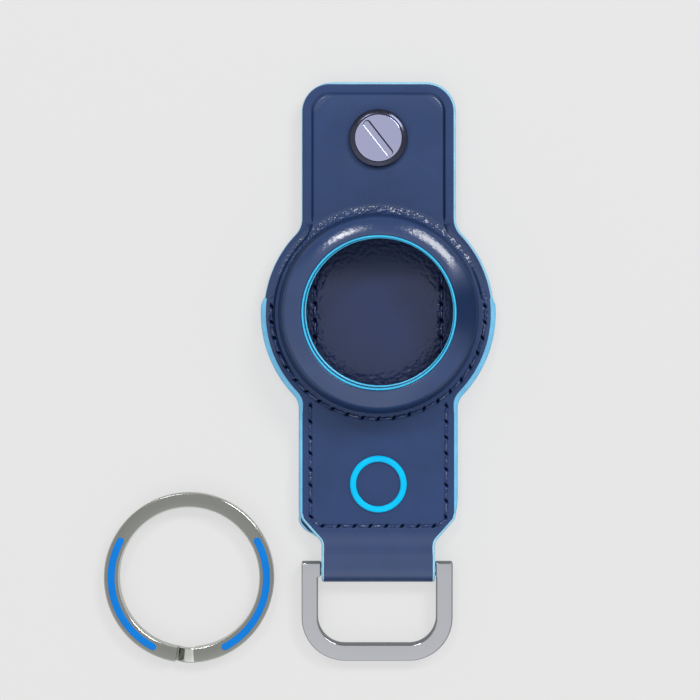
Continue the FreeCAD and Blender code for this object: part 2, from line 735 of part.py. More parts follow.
def make_split_ring():
    """Two flat turns of spring wire joined by one sloping step, with a recess for each enamel arc."""
    body = new_body("SplitRing")
    turns = (("UpperTurn", UPPER_TURN, "step_high_angle - 360", "step_low_angle - free_end_angle"),
             ("LowerTurn", "0", "step_high_angle + free_end_angle - 360", "step_low_angle"))
    for name, low, start, end in turns:
        section = new_sketch(body, name, "XZ_Plane", turn=start)
        draw_turn_section(section, low)
        revolve(body, section, f"{end} - ({start})")
    low_end = new_sketch(body, "StepLow", "XZ_Plane", turn="step_low_angle")
    draw_turn_section(low_end, "0")
    high_end = new_sketch(body, "StepHigh", "XZ_Plane", turn="step_high_angle")
    draw_turn_section(high_end, UPPER_TURN)
    step = body.newObject("PartDesign::AdditiveLoft", "Step")
    step.Profile = low_end
    step.Sections = [(high_end, [""])]
    step.Ruled = True
    doc.recompute()
    for name, side in (("RecessRight", 1), ("RecessLeft", -1)):
        recess = new_sketch(body, name, lift=SPLIT_FACE)
        draw_enamel_arc(recess, side)
        pocket(body, recess, "enamel_depth")
    place(body, f"-{SPLIT_LEFT}", f"-{SPLIT_BELOW}", "0")
    keep(body, "split_ring")
    for name, label, side in (("EnamelRight", "enamel_right", 1), ("EnamelLeft", "enamel_left", -1)):
        enamel = new_body(name)
        fill = new_sketch(enamel, f"{name}Fill", lift=f"{SPLIT_FACE} - enamel_depth")
        draw_enamel_arc(fill, side)
        pad(enamel, fill, "enamel_depth")
        place(enamel, f"-{SPLIT_LEFT}", f"-{SPLIT_BELOW}", "0")
        keep(enamel, label)


def make_badge():
    """Plain raised ring on the neck."""
    body = new_body("Badge")
    ring = new_sketch(body, "BadgeRing", lift=FRONT_TOP)
    draw_circle(ring, "badge_outer / 2", up=f"-{BADGE_PLACE}")
    draw_circle(ring, "badge_outer / 2 - badge_stroke", up=f"-{BADGE_PLACE}")
    pad(body, ring, "badge_height")
    return keep(body, "badge_ring")


def main():
    make_front_leather()
    make_front_flap()
    make_dome_lining()
    make_back_panel()
    make_window_edge_paint()
    make_edge_paint()
    make_threads()
    make_screw_post()
    make_screw_collar()
    make_clamp_screw()
    make_d_ring()
    make_split_ring()
    make_badge()
    doc.recompute()
    broken = [thing.Name for thing in doc.Objects if {"Invalid", "Error"} & set(thing.State)]
    broken += [piece.Label for piece in pieces if piece.Shape.isNull() or not piece.Shape.isValid()]
    if broken:
        raise RuntimeError(f"Failed objects: {broken}")
    os.makedirs("parts", exist_ok=True)
    for piece in pieces:
        piece.Shape.exportStep(f"parts/{piece.Label}.step")
        box = piece.Shape.BoundBox
        print(f"{piece.Label}: {len(piece.Shape.Solids)} solids, volume {piece.Shape.Volume:.2f}, "
              f"x {box.XMin:.2f} {box.XMax:.2f}, y {box.YMin:.2f} {box.YMax:.2f}, "
              f"z {box.ZMin:.2f} {box.ZMax:.2f}")


main()
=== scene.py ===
import math

import bmesh
import bpy
from bpy.props import FloatProperty, FloatVectorProperty, PointerProperty
from mathutils import Matrix, Vector, noise
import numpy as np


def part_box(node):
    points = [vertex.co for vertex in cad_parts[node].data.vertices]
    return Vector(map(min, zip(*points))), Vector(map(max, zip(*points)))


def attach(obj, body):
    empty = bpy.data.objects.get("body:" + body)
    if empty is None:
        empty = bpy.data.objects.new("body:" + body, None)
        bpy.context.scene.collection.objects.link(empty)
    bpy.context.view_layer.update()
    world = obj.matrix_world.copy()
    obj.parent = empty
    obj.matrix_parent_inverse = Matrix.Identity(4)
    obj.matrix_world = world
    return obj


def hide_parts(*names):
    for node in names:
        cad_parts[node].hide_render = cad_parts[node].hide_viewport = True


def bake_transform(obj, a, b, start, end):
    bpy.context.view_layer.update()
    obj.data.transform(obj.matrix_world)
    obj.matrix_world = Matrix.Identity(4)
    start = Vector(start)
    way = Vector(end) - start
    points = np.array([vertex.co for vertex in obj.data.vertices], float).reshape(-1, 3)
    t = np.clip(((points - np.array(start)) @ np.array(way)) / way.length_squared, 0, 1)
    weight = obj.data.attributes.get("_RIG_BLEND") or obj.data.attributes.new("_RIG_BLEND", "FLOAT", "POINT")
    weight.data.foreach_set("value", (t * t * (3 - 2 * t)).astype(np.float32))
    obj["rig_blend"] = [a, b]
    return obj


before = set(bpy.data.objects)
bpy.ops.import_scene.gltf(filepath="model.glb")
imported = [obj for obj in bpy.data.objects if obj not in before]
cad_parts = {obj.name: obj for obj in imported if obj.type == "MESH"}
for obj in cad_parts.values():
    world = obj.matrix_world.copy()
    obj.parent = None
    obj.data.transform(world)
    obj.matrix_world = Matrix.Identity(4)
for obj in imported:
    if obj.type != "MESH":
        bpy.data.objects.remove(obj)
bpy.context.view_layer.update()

bl_info = {
    "name": "Tracker tag holder",
    "version": (1, 0, 0),
    "blender": (4, 5, 0),
    "location": "View3D > Sidebar > Tag Holder",
    "description": "Leather holder for a coin-shaped tag, with screw flap, D-ring and split key ring",
    "category": "Object",
}

MM = 0.001


def in_mm(metres):
    return round(metres / MM, 3)


# Plan of the holder in millimetres, as the solids give it
FLAP_TOP = in_mm(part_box("front_flap")[1].y)
NECK = in_mm(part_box("front_flap")[1].x)
FACE = in_mm(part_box("front_flap")[1].z)
CROWN = in_mm(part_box("front_leather")[1].z)
LEATHER = FACE / 3
HALF = LEATHER / 2
FRONT_MIDDLE = FACE - HALF
PARTING = FACE - LEATHER
BACK_MIDDLE = PARTING - HALF
DISC = 20.2
POCKET = 16.1
FLAP_CORNER = 5.1
BLEND = 4.0
NECK_END = -36.0
SHOULDER_ROUND = 2.0
SHOULDER_DROP = 4.2
BACK_DROP = 3.0
STRAP = 9.8
STRAP_END = -38.3
TONGUE = 12.75
TONGUE_TOP = 11.0
TONGUE_FLARE = -40.2
TONGUE_CORNER = 4.0
SHOULDER_TURN = math.degrees(math.atan2(NECK - STRAP, SHOULDER_DROP))
SHOULDER_TANGENT = SHOULDER_ROUND * math.tan(math.radians(SHOULDER_TURN / 2))
SHOULDER_TOP = NECK_END + SHOULDER_TANGENT
BLEND_RISE = math.sqrt((DISC + BLEND) ** 2 - (NECK + BLEND) ** 2)
BLEND_ANGLE = math.degrees(math.atan2(BLEND_RISE, NECK + BLEND))
SCREW_PLACE = 30.8
POST_HOLE = 2.85
KEY_RING = (-33.4, -46.6)

# Seams in millimetres, and the sewn stretch of the disc in degrees
SEAM_TOP = 2.7
SEAM_TOP_ANGLE = math.degrees(math.asin(SEAM_TOP / DISC))
SEAM_RADIUS = 18.8
SEAM_DRAW = 0.3
SEAM_COLUMN = 11.95
SEAM_CORNER = 2.25
SEAM_GAP = 0.25
ROW_DROP = 1.4
STITCH_PITCH = 2.85
DISC_STITCHES = 22
DISC_SEAM_START = 176
DISC_SEAM_SWEEP = 188.0
POCKET_COLUMN = 11.2
COLUMNS = (-POCKET_COLUMN, POCKET_COLUMN)
COLUMN_TOP = 7.7
POCKET_FOOT = STITCH_PITCH / 2 - math.sqrt(POCKET ** 2 - POCKET_COLUMN ** 2)
TONGUE_FOOT = -35.0

# The strap's way round the bar, along the middle of the leather
BAR_PLACE = -45.0
BAR_HEIGHT = 2.33
WRAP_RADIUS = 1.73
RISE_RUN = STRAP_END - BAR_PLACE
RISE = BAR_HEIGHT + WRAP_RADIUS - FRONT_MIDDLE
RISE_RADIUS = (RISE_RUN ** 2 + RISE ** 2) / (4 * RISE)
RISE_ARC = RISE_RADIUS * math.asin(RISE_RUN / 2 / RISE_RADIUS)
WRAP_START = 2 * RISE_ARC
WRAP_END = WRAP_START + math.pi * WRAP_RADIUS

# Where the leather is cut across, so that it can bend at the flap and round the bar
FLAP_CUTS = [19.5 + 0.4 * step for step in range(9)]
STRAP_CUTS = [STRAP_END - WRAP_START * step / 10 for step in range(10)]
STRAP_CUTS += [STRAP_END - WRAP_START - math.pi * WRAP_RADIUS * step / 24 for step in range(25)]

# Numbers of points along the stretches of the upper outline; its sewn edge begins after the fifth
STRETCHES = (6, 14, 14, 12, 22, 30, 12, 14)
SEAM_START = sum(STRETCHES[:5])
SEAM_END = sum(STRETCHES)


def linear(colour):
    """Linear RGBA of an sRGB hex colour."""
    parts = [int(colour[place:place + 2], 16) / 255 for place in (1, 3, 5)]
    return tuple(part / 12.92 if part <= 0.04045 else ((part + 0.055) / 1.055) ** 2.4
                 for part in parts) + (1.0,)


def size_property(name, description, default):
    return FloatProperty(name=name, description=description, default=default, unit="LENGTH", precision=5)


def colour_property(name, description, colour):
    return FloatVectorProperty(name=name, description=description, default=linear(colour), size=4,
                               subtype="COLOR", min=0, max=1)


class HolderSizes(bpy.types.PropertyGroup):
    """Sizes of the finer forms that are dressed over the solids."""
    crease_inset: size_property("Crease inset", "Distance of the creased line from the flap's edge", 0.0019)
    crease_width: size_property("Crease width", "Width of the creased line", 0.00062)
    crease_depth: size_property("Crease depth", "Depth of the creased line", 0.00017)
    seam_depth: size_property("Seam depth", "Depth of the channel that the stitches lie in", 0.00008)
    needle_depth: size_property("Needle hole depth", "Depth of the slanted needle holes", 0.00035)
    thread_width: size_property("Thread width", "Width of the sewing thread", 0.0005)
    grain: size_property("Leather grain", "Width of the leather's fine grain", 0.00035)
    wrinkle: size_property("Wrinkle", "Width of the wrinkles where the leather was moulded", 0.0008)


class HolderColours(bpy.types.PropertyGroup):
    """Colours of the holder's finishes."""
    leather: colour_property("Leather", "Navy calf leather", "#213a67")
    pocket: colour_property("Pocket", "Glazed leather inside the pocket", "#1e2f5a")
    # One blue edge paint in three tones: the outer edges are lighter than the window's rim as painted light
    # on edges that face sideways, and the thin coats palest as a painted sheen.
    paint: colour_property("Edge paint", "Acrylic paint on the outer cut edges", "#6fc2f0")
    thin_paint: colour_property("Thin edge paint", "Acrylic paint on flap's and strap's edges", "#93d0f2")
    rim: colour_property("Window paint", "Acrylic paint on the window's rim", "#3ac4ff")
    thread: colour_property("Thread", "Waxed sewing thread", "#2a3c69")
    nickel: colour_property("D-ring", "Polished nickel plate", "#adafb4")
    gunmetal: colour_property("Cup ring", "Dark plated steel", "#434657")
    # The screw's cool lavender tint is a painted reflection.
    screw: colour_property("Screw", "Polished, cold toned steel", "#a8accb")
    ring: colour_property("Key ring", "Brushed spring steel", "#888a85")
    enamel: colour_property("Enamel", "Blue ring enamel", "#047ad6")
    badge: colour_property("Badge", "Cyan badge enamel", "#00c4ff")
    floor: colour_property("Floor", "Pale studio floor", "#e4e4e4")


class HolderSettings(bpy.types.PropertyGroup):
    """Everything that a user may change."""
    sizes: PointerProperty(type=HolderSizes)
    colours: PointerProperty(type=HolderColours)


# Shapes


def lift(points, height):
    return [(across, up, height) for across, up in points]


def line(start, end, count):
    """Points of a straight run, without its last one."""
    return [(start[0] + (end[0] - start[0]) * step / count, start[1] + (end[1] - start[1]) * step / count)
            for step in range(count)]


def arc(centre, radius, start, end, count):
    """Points of an arc between two angles in degrees, without its last one."""
    turns = [math.radians(start + (end - start) * step / count) for step in range(count)]
    return [(centre[0] + radius * math.cos(turn), centre[1] + radius * math.sin(turn)) for turn in turns]


def mirror(points):
    """The same points on the holder's other side, in reverse order."""
    return [(-across, up) for across, up in reversed(points)]


def both_sides(*offsets):
    """Offsets to the one side of a line, the line itself and the same offsets to the other side."""
    return [-offset for offset in reversed(offsets)] + [0] + list(offsets)


def upper_outline(inset):
    """Right side of flap, disc and neck from the flap's top downwards, moved in by an inset."""
    side, top = NECK - inset, FLAP_TOP - inset
    corner = (NECK - FLAP_CORNER, FLAP_TOP - FLAP_CORNER)
    ways = ((line, (0, top), (corner[0], top)),
            (arc, corner, FLAP_CORNER - inset, 90, 0),
            (line, (side, corner[1]), (side, BLEND_RISE)),
            (arc, (NECK + BLEND, BLEND_RISE), BLEND + inset, 180, 180 + BLEND_ANGLE),
            (arc, (0, 0), DISC - inset, BLEND_ANGLE, SEAM_TOP_ANGLE),
            (arc, (0, 0), DISC - inset, SEAM_TOP_ANGLE, -BLEND_ANGLE),
            (arc, (NECK + BLEND, -BLEND_RISE), BLEND + inset, 180 - BLEND_ANGLE, 180),
            (line, (side, -BLEND_RISE), (side, SHOULDER_TOP)))
    return [point for (kind, *way), count in zip(ways, STRETCHES) for point in kind(*way, count)]


def shoulder(inset):
    centre = (NECK - SHOULDER_ROUND, SHOULDER_TOP)
    return arc(centre, SHOULDER_ROUND - inset, 0, -SHOULDER_TURN, 6)


def laid_flat(up):
    """Where a place along the tongue, which returns behind, lies on the flat blank."""
    return STRAP_END - WRAP_END - (up - BAR_PLACE)


def front_tail(inset):
    """Rest of the front blank's right side, laid flat: shoulder, strap and the tongue that returns behind."""
    hollow = (STRAP + SHOULDER_ROUND, NECK_END - SHOULDER_DROP - SHOULDER_TANGENT)
    flare, wide, end = (laid_flat(up) for up in (TONGUE_FLARE, NECK_END, TONGUE_TOP))
    corner = (TONGUE - TONGUE_CORNER, end + TONGUE_CORNER)
    points = shoulder(inset)
    points += arc(hollow, SHOULDER_ROUND + inset, 180 - SHOULDER_TURN, 180, 6)
    points += line((STRAP - inset, hollow[1]), (STRAP - inset, flare), 4)
    points += line((STRAP - inset, flare), (TONGUE - inset, wide), 4)
    points += line((TONGUE - inset, wide), (TONGUE - inset, corner[1]), 24)
    points += arc(corner, TONGUE_CORNER - inset, 0, -90, 12)
    points += line((corner[0], end + inset), (0, end + inset), 5)
    return points + [(0, end + inset)]


def back_tail(inset):
    """Rest of the back panel's right side."""
    slope = math.radians(SHOULDER_TURN)
    low = NECK_END - BACK_DROP + inset
    start = (NECK - SHOULDER_ROUND + (SHOULDER_ROUND - inset) * math.cos(slope),
             SHOULDER_TOP - (SHOULDER_ROUND - inset) * math.sin(slope))
    foot = start[0] - (start[1] - low) * math.tan(slope)
    return shoulder(inset) + line(start, (foot, low), 4) + line((foot, low), (0, low), 8) + [(0, low)]


def whole(right):
    """Closed loop from the points of its right half."""
    return right + mirror(right[1:-1])


def resample(points, step):
    """Evenly spaced points along a path, both ends included, with the way along at each."""
    lengths = [math.dist(*pair) for pair in zip(points, points[1:])]
    total = sum(lengths)
    count = max(round(total / step), 1)
    spots = []
    index, passed = 0, 0.0
    for number in range(count + 1):
        along = total * number / count
        while index < len(lengths) - 1 and passed + lengths[index] < along:
            passed += lengths[index]
            index += 1
        share = min(max((along - passed) / lengths[index], 0), 1)
        start, end = points[index], points[index + 1]
        spots.append((start[0] + (end[0] - start[0]) * share, start[1] + (end[1] - start[1]) * share))
    headings = []
    for number in range(len(spots)):
        before, after = spots[max(number - 1, 0)], spots[min(number + 1, count)]
        headings.append(math.atan2(after[1] - before[1], after[0] - before[0]))
    return spots, headings


def seam_path():
    """Middle of the seam round the neck, from the disc down, across and up again."""
    high = -math.sqrt(SEAM_RADIUS ** 2 - SEAM_COLUMN ** 2) - STITCH_PITCH / 2 - SEAM_GAP
    turn = NECK_END - ROW_DROP + SEAM_CORNER
    right = arc((SEAM_COLUMN - SEAM_CORNER, turn), SEAM_CORNER, -90, 0, 8)
    right += [(SEAM_COLUMN, turn), (SEAM_COLUMN, high)]
    return mirror(right) + right


def divide_seam(path):
    """Places and headings of a seam's stitches and of the needle holes between them."""
    total = sum(math.dist(*pair) for pair in zip(path, path[1:]))
    count = max(round(total / STITCH_PITCH), 1)
    spots, headings = resample(path, total / count / 2)
    marks = [(*spot, heading) for spot, heading in zip(spots, headings)]
    return marks[1::2], marks[0::2]


def seam_radius(turn):
    """Distance of the disc's seam from the middle, closer to the dome at the neck."""
    return SEAM_RADIUS - SEAM_DRAW * max(-math.sin(turn), 0) ** 2


def disc_seam():
    """The same as divide_seam for the seam round the lower half of the disc."""
    marks = []
    for number in range(2 * DISC_STITCHES + 1):
        turn = math.radians(DISC_SEAM_START + DISC_SEAM_SWEEP * number / (2 * DISC_STITCHES))
        radius = seam_radius(turn)
        marks.append((radius * math.cos(turn), radius * math.sin(turn), turn + math.pi / 2))
    return marks[1::2], marks[0::2]


def front_seam():
    """The same for the whole seam on the front."""
    return [disc + neck for disc, neck in zip(disc_seam(), divide_seam(seam_path()))]


def column_seams(foot):
    """The same for the tongue's two straight seams, from their foot up."""
    left, right = (divide_seam([(side, foot), (side, COLUMN_TOP)]) for side in COLUMNS)
    return left[0] + right[0], left[1] + right[1]


def wrap(across, up, height):
    """Carry a point of the flat front blank along the strap's way round the bar."""
    along = STRAP_END - up
    over = height - FRONT_MIDDLE
    if along <= 0:
        return (across, up, height)
    if along <= WRAP_START:
        first = along <= RISE_ARC
        turn = (along if first else WRAP_START - along) / RISE_RADIUS
        run, rise = RISE_RADIUS * math.sin(turn), RISE_RADIUS * (1 - math.cos(turn))
        if not first:
            run, rise = RISE_RUN - run, RISE - rise
        return (across, STRAP_END - run + over * math.sin(turn), FRONT_MIDDLE + rise + over * math.cos(turn))
    if along <= WRAP_END:
        turn = (along - WRAP_START) / WRAP_RADIUS
        reach = WRAP_RADIUS + over
        return (across, BAR_PLACE - reach * math.sin(turn), BAR_HEIGHT + reach * math.cos(turn))
    return (across, BAR_PLACE + along - WRAP_END, HALF - over)


# Modelling


def object_mode():
    if bpy.context.object and bpy.context.object.mode != "OBJECT":
        bpy.ops.object.mode_set(mode="OBJECT")


def deselect():
    object_mode()
    bpy.ops.object.select_all(action="DESELECT")


def make_active(piece):
    deselect()
    piece.select_set(True)
    bpy.context.view_layer.objects.active = piece


def edit_all(piece, kind="VERT"):
    make_active(piece)
    bpy.ops.object.mode_set(mode="EDIT")
    bpy.ops.mesh.select_mode(type=kind)
    bpy.ops.mesh.select_all(action="SELECT")


def select_edges(piece, wanted):
    """Select the edges that a test picks, in edit mode."""
    edit_all(piece, "EDGE")
    bpy.ops.mesh.select_all(action="DESELECT")
    mesh = bmesh.from_edit_mesh(piece.data)
    picked = [edge for edge in mesh.edges if wanted(edge)]
    for edge in picked:
        edge.select_set(True)
    mesh.select_flush_mode()
    bmesh.update_edit_mesh(piece.data)
    if not picked:
        raise RuntimeError(f"{piece.name}: no edges to work on")


def make_sheet(name, rows, closed=False):
    """A grid whose rows of vertices go to rows of points; closed joins each row's ends."""
    rows = [list(row) + [row[0]] if closed else list(row) for row in rows]
    deselect()
    bpy.ops.mesh.primitive_grid_add(x_subdivisions=len(rows[0]) - 1, y_subdivisions=len(rows) - 1, size=1)
    piece = bpy.context.object
    piece.name = name
    vertices = sorted(piece.data.vertices, key=lambda vertex: (round(vertex.co.y, 6), round(vertex.co.x, 6)))
    points = [point for row in rows for point in row]
    if len(points) != len(vertices):
        raise RuntimeError(f"{name}: {len(points)} points for {len(vertices)} vertices")
    for vertex, point in zip(vertices, points):
        vertex.co = Vector(point) * MM
    return piece


def make_loop(name, points):
    """A circle primitive whose vertices go to the points of a closed loop."""
    deselect()
    bpy.ops.mesh.primitive_circle_add(vertices=len(points), radius=0.01, fill_type="NOTHING")
    piece = bpy.context.object
    piece.name = name
    for vertex, point in zip(piece.data.vertices, points):
        vertex.co = Vector(point) * MM
    return piece


def spin_ring(name, section, centre=(0, 0), steps=96, base=0):
    """Spin a section of radii and heights over a base about an upright axis."""
    piece = make_loop(name, [(centre[0] + radius, centre[1], base + height) for radius, height in section])
    edit_all(piece)
    bpy.ops.mesh.spin(steps=steps, angle=2 * math.pi, center=(centre[0] * MM, centre[1] * MM, 0),
                      axis=(0, 0, 1))
    return weld(piece)


def weld(piece):
    """Merge doubled vertices and turn the faces outwards."""
    edit_all(piece)
    bpy.ops.mesh.remove_doubles(threshold=1e-7)
    bpy.ops.mesh.normals_make_consistent(inside=False)
    object_mode()
    return piece


def join(name, *parts):
    make_active(parts[0])
    for part in parts:
        part.select_set(True)
    if len(parts) > 1:
        bpy.ops.object.join()
    parts[0].name = name
    return parts[0]


def fill_flat(piece, height):
    """Close the open edges that lie at one height with flat faces."""
    select_edges(piece, lambda edge: edge.is_boundary
                 and all(abs(vertex.co.z - height * MM) < 1e-7 for vertex in edge.verts))
    bpy.ops.mesh.fill(use_beauty=True)
    object_mode()


def cap_ends(piece):
    """Close each open end with one face."""
    select_edges(piece, lambda edge: edge.is_boundary)
    bpy.ops.mesh.edge_face_add()
    object_mode()


def cut_across(piece, places):
    """Cut the mesh across at places along the holder, so that it can bend there."""
    for place in places:
        edit_all(piece)
        bpy.ops.mesh.bisect(plane_co=(0, place * MM, 0), plane_no=(0, 1, 0))
    object_mode()


def extrude(piece, height):
    """Raise a flat piece into a solid."""
    edit_all(piece, "FACE")
    bpy.ops.mesh.extrude_region_move(TRANSFORM_OT_translate={"value": (0, 0, height * MM)})
    object_mode()
    return weld(piece)


def modify(piece, kind, **settings):
    """Add a modifier and apply it."""
    make_active(piece)
    modifier = piece.modifiers.new(kind.title(), kind)
    for name, value in settings.items():
        setattr(modifier, name, value)
    bpy.ops.object.modifier_apply(modifier=modifier.name)


def round_edges(piece, width, segments):
    """Round the edges between faces that stand steeply to each other."""
    modify(piece, "BEVEL", width=width * MM, segments=segments, limit_method="ANGLE",
           angle_limit=math.radians(50))


def cut_out(piece, cutter):
    """Cut a solid out of a piece and remove it."""
    modify(piece, "BOOLEAN", object=cutter, operation="DIFFERENCE", solver="EXACT")
    make_active(cutter)
    bpy.ops.object.delete()


def duplicate(piece, change):
    """A copy with its own mesh, moved by a matrix."""
    copy = piece.copy()
    copy.data = piece.data.copy()
    bpy.context.collection.objects.link(copy)
    copy.data.transform(change)
    return copy


def copy_along(name, model, marks, height):
    """Copies of a small piece at places and headings, joined into one piece."""
    return join(name, *[duplicate(model, Matrix.Translation(Vector((across, up, height)) * MM)
                                  @ Matrix.Rotation(heading, 4, "Z")) for across, up, heading in marks])


def mirrored_pair(name, piece):
    """A piece of the right side together with its copy on the left."""
    return weld(join(name, piece, duplicate(piece, Matrix.Scale(-1, 4, (1, 0, 0)))))


def move(piece, place):
    """Carry each vertex to where a function of its place in millimetres puts it."""
    for vertex in piece.data.vertices:
        vertex.co = Vector(place(*(vertex.co / MM))) * MM


def ease(value, start, end):
    """Smooth share of the way between two values."""
    share = min(max((value - start) / (end - start), 0), 1)
    return share * share * (3 - 2 * share)


def band(value, start, full, fading, end):
    """Share that grows smoothly from a start until it is full, and fades again to an end."""
    return ease(value, start, full) * ease(value, end, fading)


def shares(piece, name):
    """The named share of each vertex, for the material to read."""
    attributes = piece.data.attributes
    return (attributes.get(name) or attributes.new(name, "FLOAT", "POINT")).data


def note(piece, **rules):
    """Note named shares for each vertex, each worked out from its place by a rule."""
    for name, rule in rules.items():
        for vertex, mark in zip(piece.data.vertices, shares(piece, name)):
            mark.value = max(mark.value, rule(*(vertex.co / MM)))


# Needle holes: slant to the seam, half length and half width, and how far round a hole's middle and below the
# face the leather gives way
NEEDLE_SLANT = math.radians(34)
NEEDLE_LENGTH = 0.46
NEEDLE_WIDTH = 0.23
NEEDLE_REACH = 1
NEEDLE_BELOW = 0.25


def press_needle_holes(piece, holes, depth, face):
    """Push slanted needle holes into a face and note how deep each vertex lies, as painted shade that
    blackens the holes.
    """
    for vertex, mark in zip(piece.data.vertices, shares(piece, "pressed")):
        if abs(vertex.co.z / MM - face) > NEEDLE_BELOW:
            continue
        across, up = vertex.co.x / MM, vertex.co.y / MM
        for x, y, heading in holes:
            if abs(across - x) > NEEDLE_REACH or abs(up - y) > NEEDLE_REACH:
                continue
            turn = heading + NEEDLE_SLANT
            run = (across - x) * math.cos(turn) + (up - y) * math.sin(turn)
            side = -(across - x) * math.sin(turn) + (up - y) * math.cos(turn)
            far = (run / NEEDLE_LENGTH) ** 2 + (side / NEEDLE_WIDTH) ** 2
            share = max(math.exp(-far ** 1.5) - 0.04, 0)
            vertex.co.z -= depth * share * MM
            mark.value = max(mark.value, min(share * 1.35, 1))


# Channel of a seam, as offsets from its middle
CHANNEL = both_sides(0.12, 0.24, 0.36, 0.48, 0.6)


def ribbon(name, path, offsets, depth, step, shade=0.0):
    """Strip of the front's face along a path with a channel down its middle that fades out at both ends; a
    shaded one is pointed at its ends and dark down its groove, partly as creasing darkens leather and partly
    as painted shade, most on the flap's right side and lower down."""
    spots, headings = resample(path, step)
    widest = max(offsets)
    fading = 0.3 if shade else 0.6
    tip, tip_length = 0.15, 1.2
    rows = []
    for offset in offsets:
        fall = math.cos(math.pi / 2 * offset / widest) ** 2 if abs(offset) < widest else 0
        row = []
        for number, ((across, up), heading) in enumerate(zip(spots, headings)):
            along = min(number, len(spots) - 1 - number) * step
            reach = offset * (tip + (1 - tip) * min(along / tip_length, 1)) if shade else offset
            row.append((across - reach * math.sin(heading), up + reach * math.cos(heading),
                        FACE - depth * fall * min(along / fading, 1)))
        rows.append(row)
    piece = make_sheet(name, rows)
    for vertex, mark in zip(piece.data.vertices, shares(piece, "pressed")):
        across, up, level = vertex.co / MM
        # Darkening in the crease's groove, partly painted shade: weakest at the flap's top and strongest on
        # its right side.
        heavy = 0.35 + 0.35 * ease(FLAP_TOP - up, 2.5, 6.0) + 0.3 * ease(across, 10.0, 11.5)
        mark.value = shade * heavy * ((FACE - level) / depth) ** 2
    return piece


def finish(piece, name, material, body, nodes=(), angle=40):
    """Smooth, paint and name a finished piece, and hang it on its body."""
    piece.name = name
    piece.data.name = name
    make_active(piece)
    bpy.ops.object.shade_smooth_by_angle(angle=math.radians(angle))
    piece.data.materials.clear()
    piece.data.materials.append(material)
    if isinstance(body, str):
        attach(piece, body)
    else:
        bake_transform(piece, *body, start=(0, 0.0195, FACE * MM), end=(0, 0.0227, FACE * MM))
    if nodes:
        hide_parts(*nodes)
    return piece


# Materials


def add_node(tree, kind, inputs, **settings):
    """Add a shader node with its settings; each input is a value or the output that it is linked to."""
    node = tree.nodes.new("ShaderNode" + kind)
    for name, value in settings.items():
        setattr(node, name, value)
    for name, value in inputs.items():
        if isinstance(value, bpy.types.NodeSocket):
            tree.links.new(value, node.inputs[name])
        else:
            node.inputs[name].default_value = value
    return node.outputs


def new_material(name, **sockets):
    """A material with one Principled shader, whose plain values are given by socket name, and the places on
    the object that its patterns read."""
    material = bpy.data.materials.new(name)
    material.use_nodes = True
    tree = material.node_tree
    shader = tree.nodes["Principled BSDF"]
    for socket, value in sockets.items():
        shader.inputs[socket.replace("_", " ")].default_value = value
    return material, tree, shader.inputs, add_node(tree, "TexCoord", {})["Object"]


def toned(colour, tone):
    """A colour made darker or lighter."""
    return tuple(min(part * tone, 1.0) for part in colour[:3]) + (1.0,)


def mottled_material(name, colour, patch, detail, tones, relief, depth, **sockets):
    """Start of a finish whose colour and surface vary together, in patches of a given width."""
    material, tree, shader, place = new_material(name, **sockets)
    patches = add_node(tree, "TexNoise", {"Vector": place, "Scale": 1 / patch, "Detail": detail})[0]
    dark, light = (toned(colour, tone) for tone in tones)
    base = add_node(tree, "Mix", {0: patches, 6: dark, 7: light}, data_type="RGBA")[2]
    tree.links.new(base, shader["Base Color"])
    bump = add_node(tree, "Bump", {"Height": patches, "Strength": relief, "Distance": depth})[0]
    tree.links.new(bump, shader["Normal"])
    return material, tree, shader, place


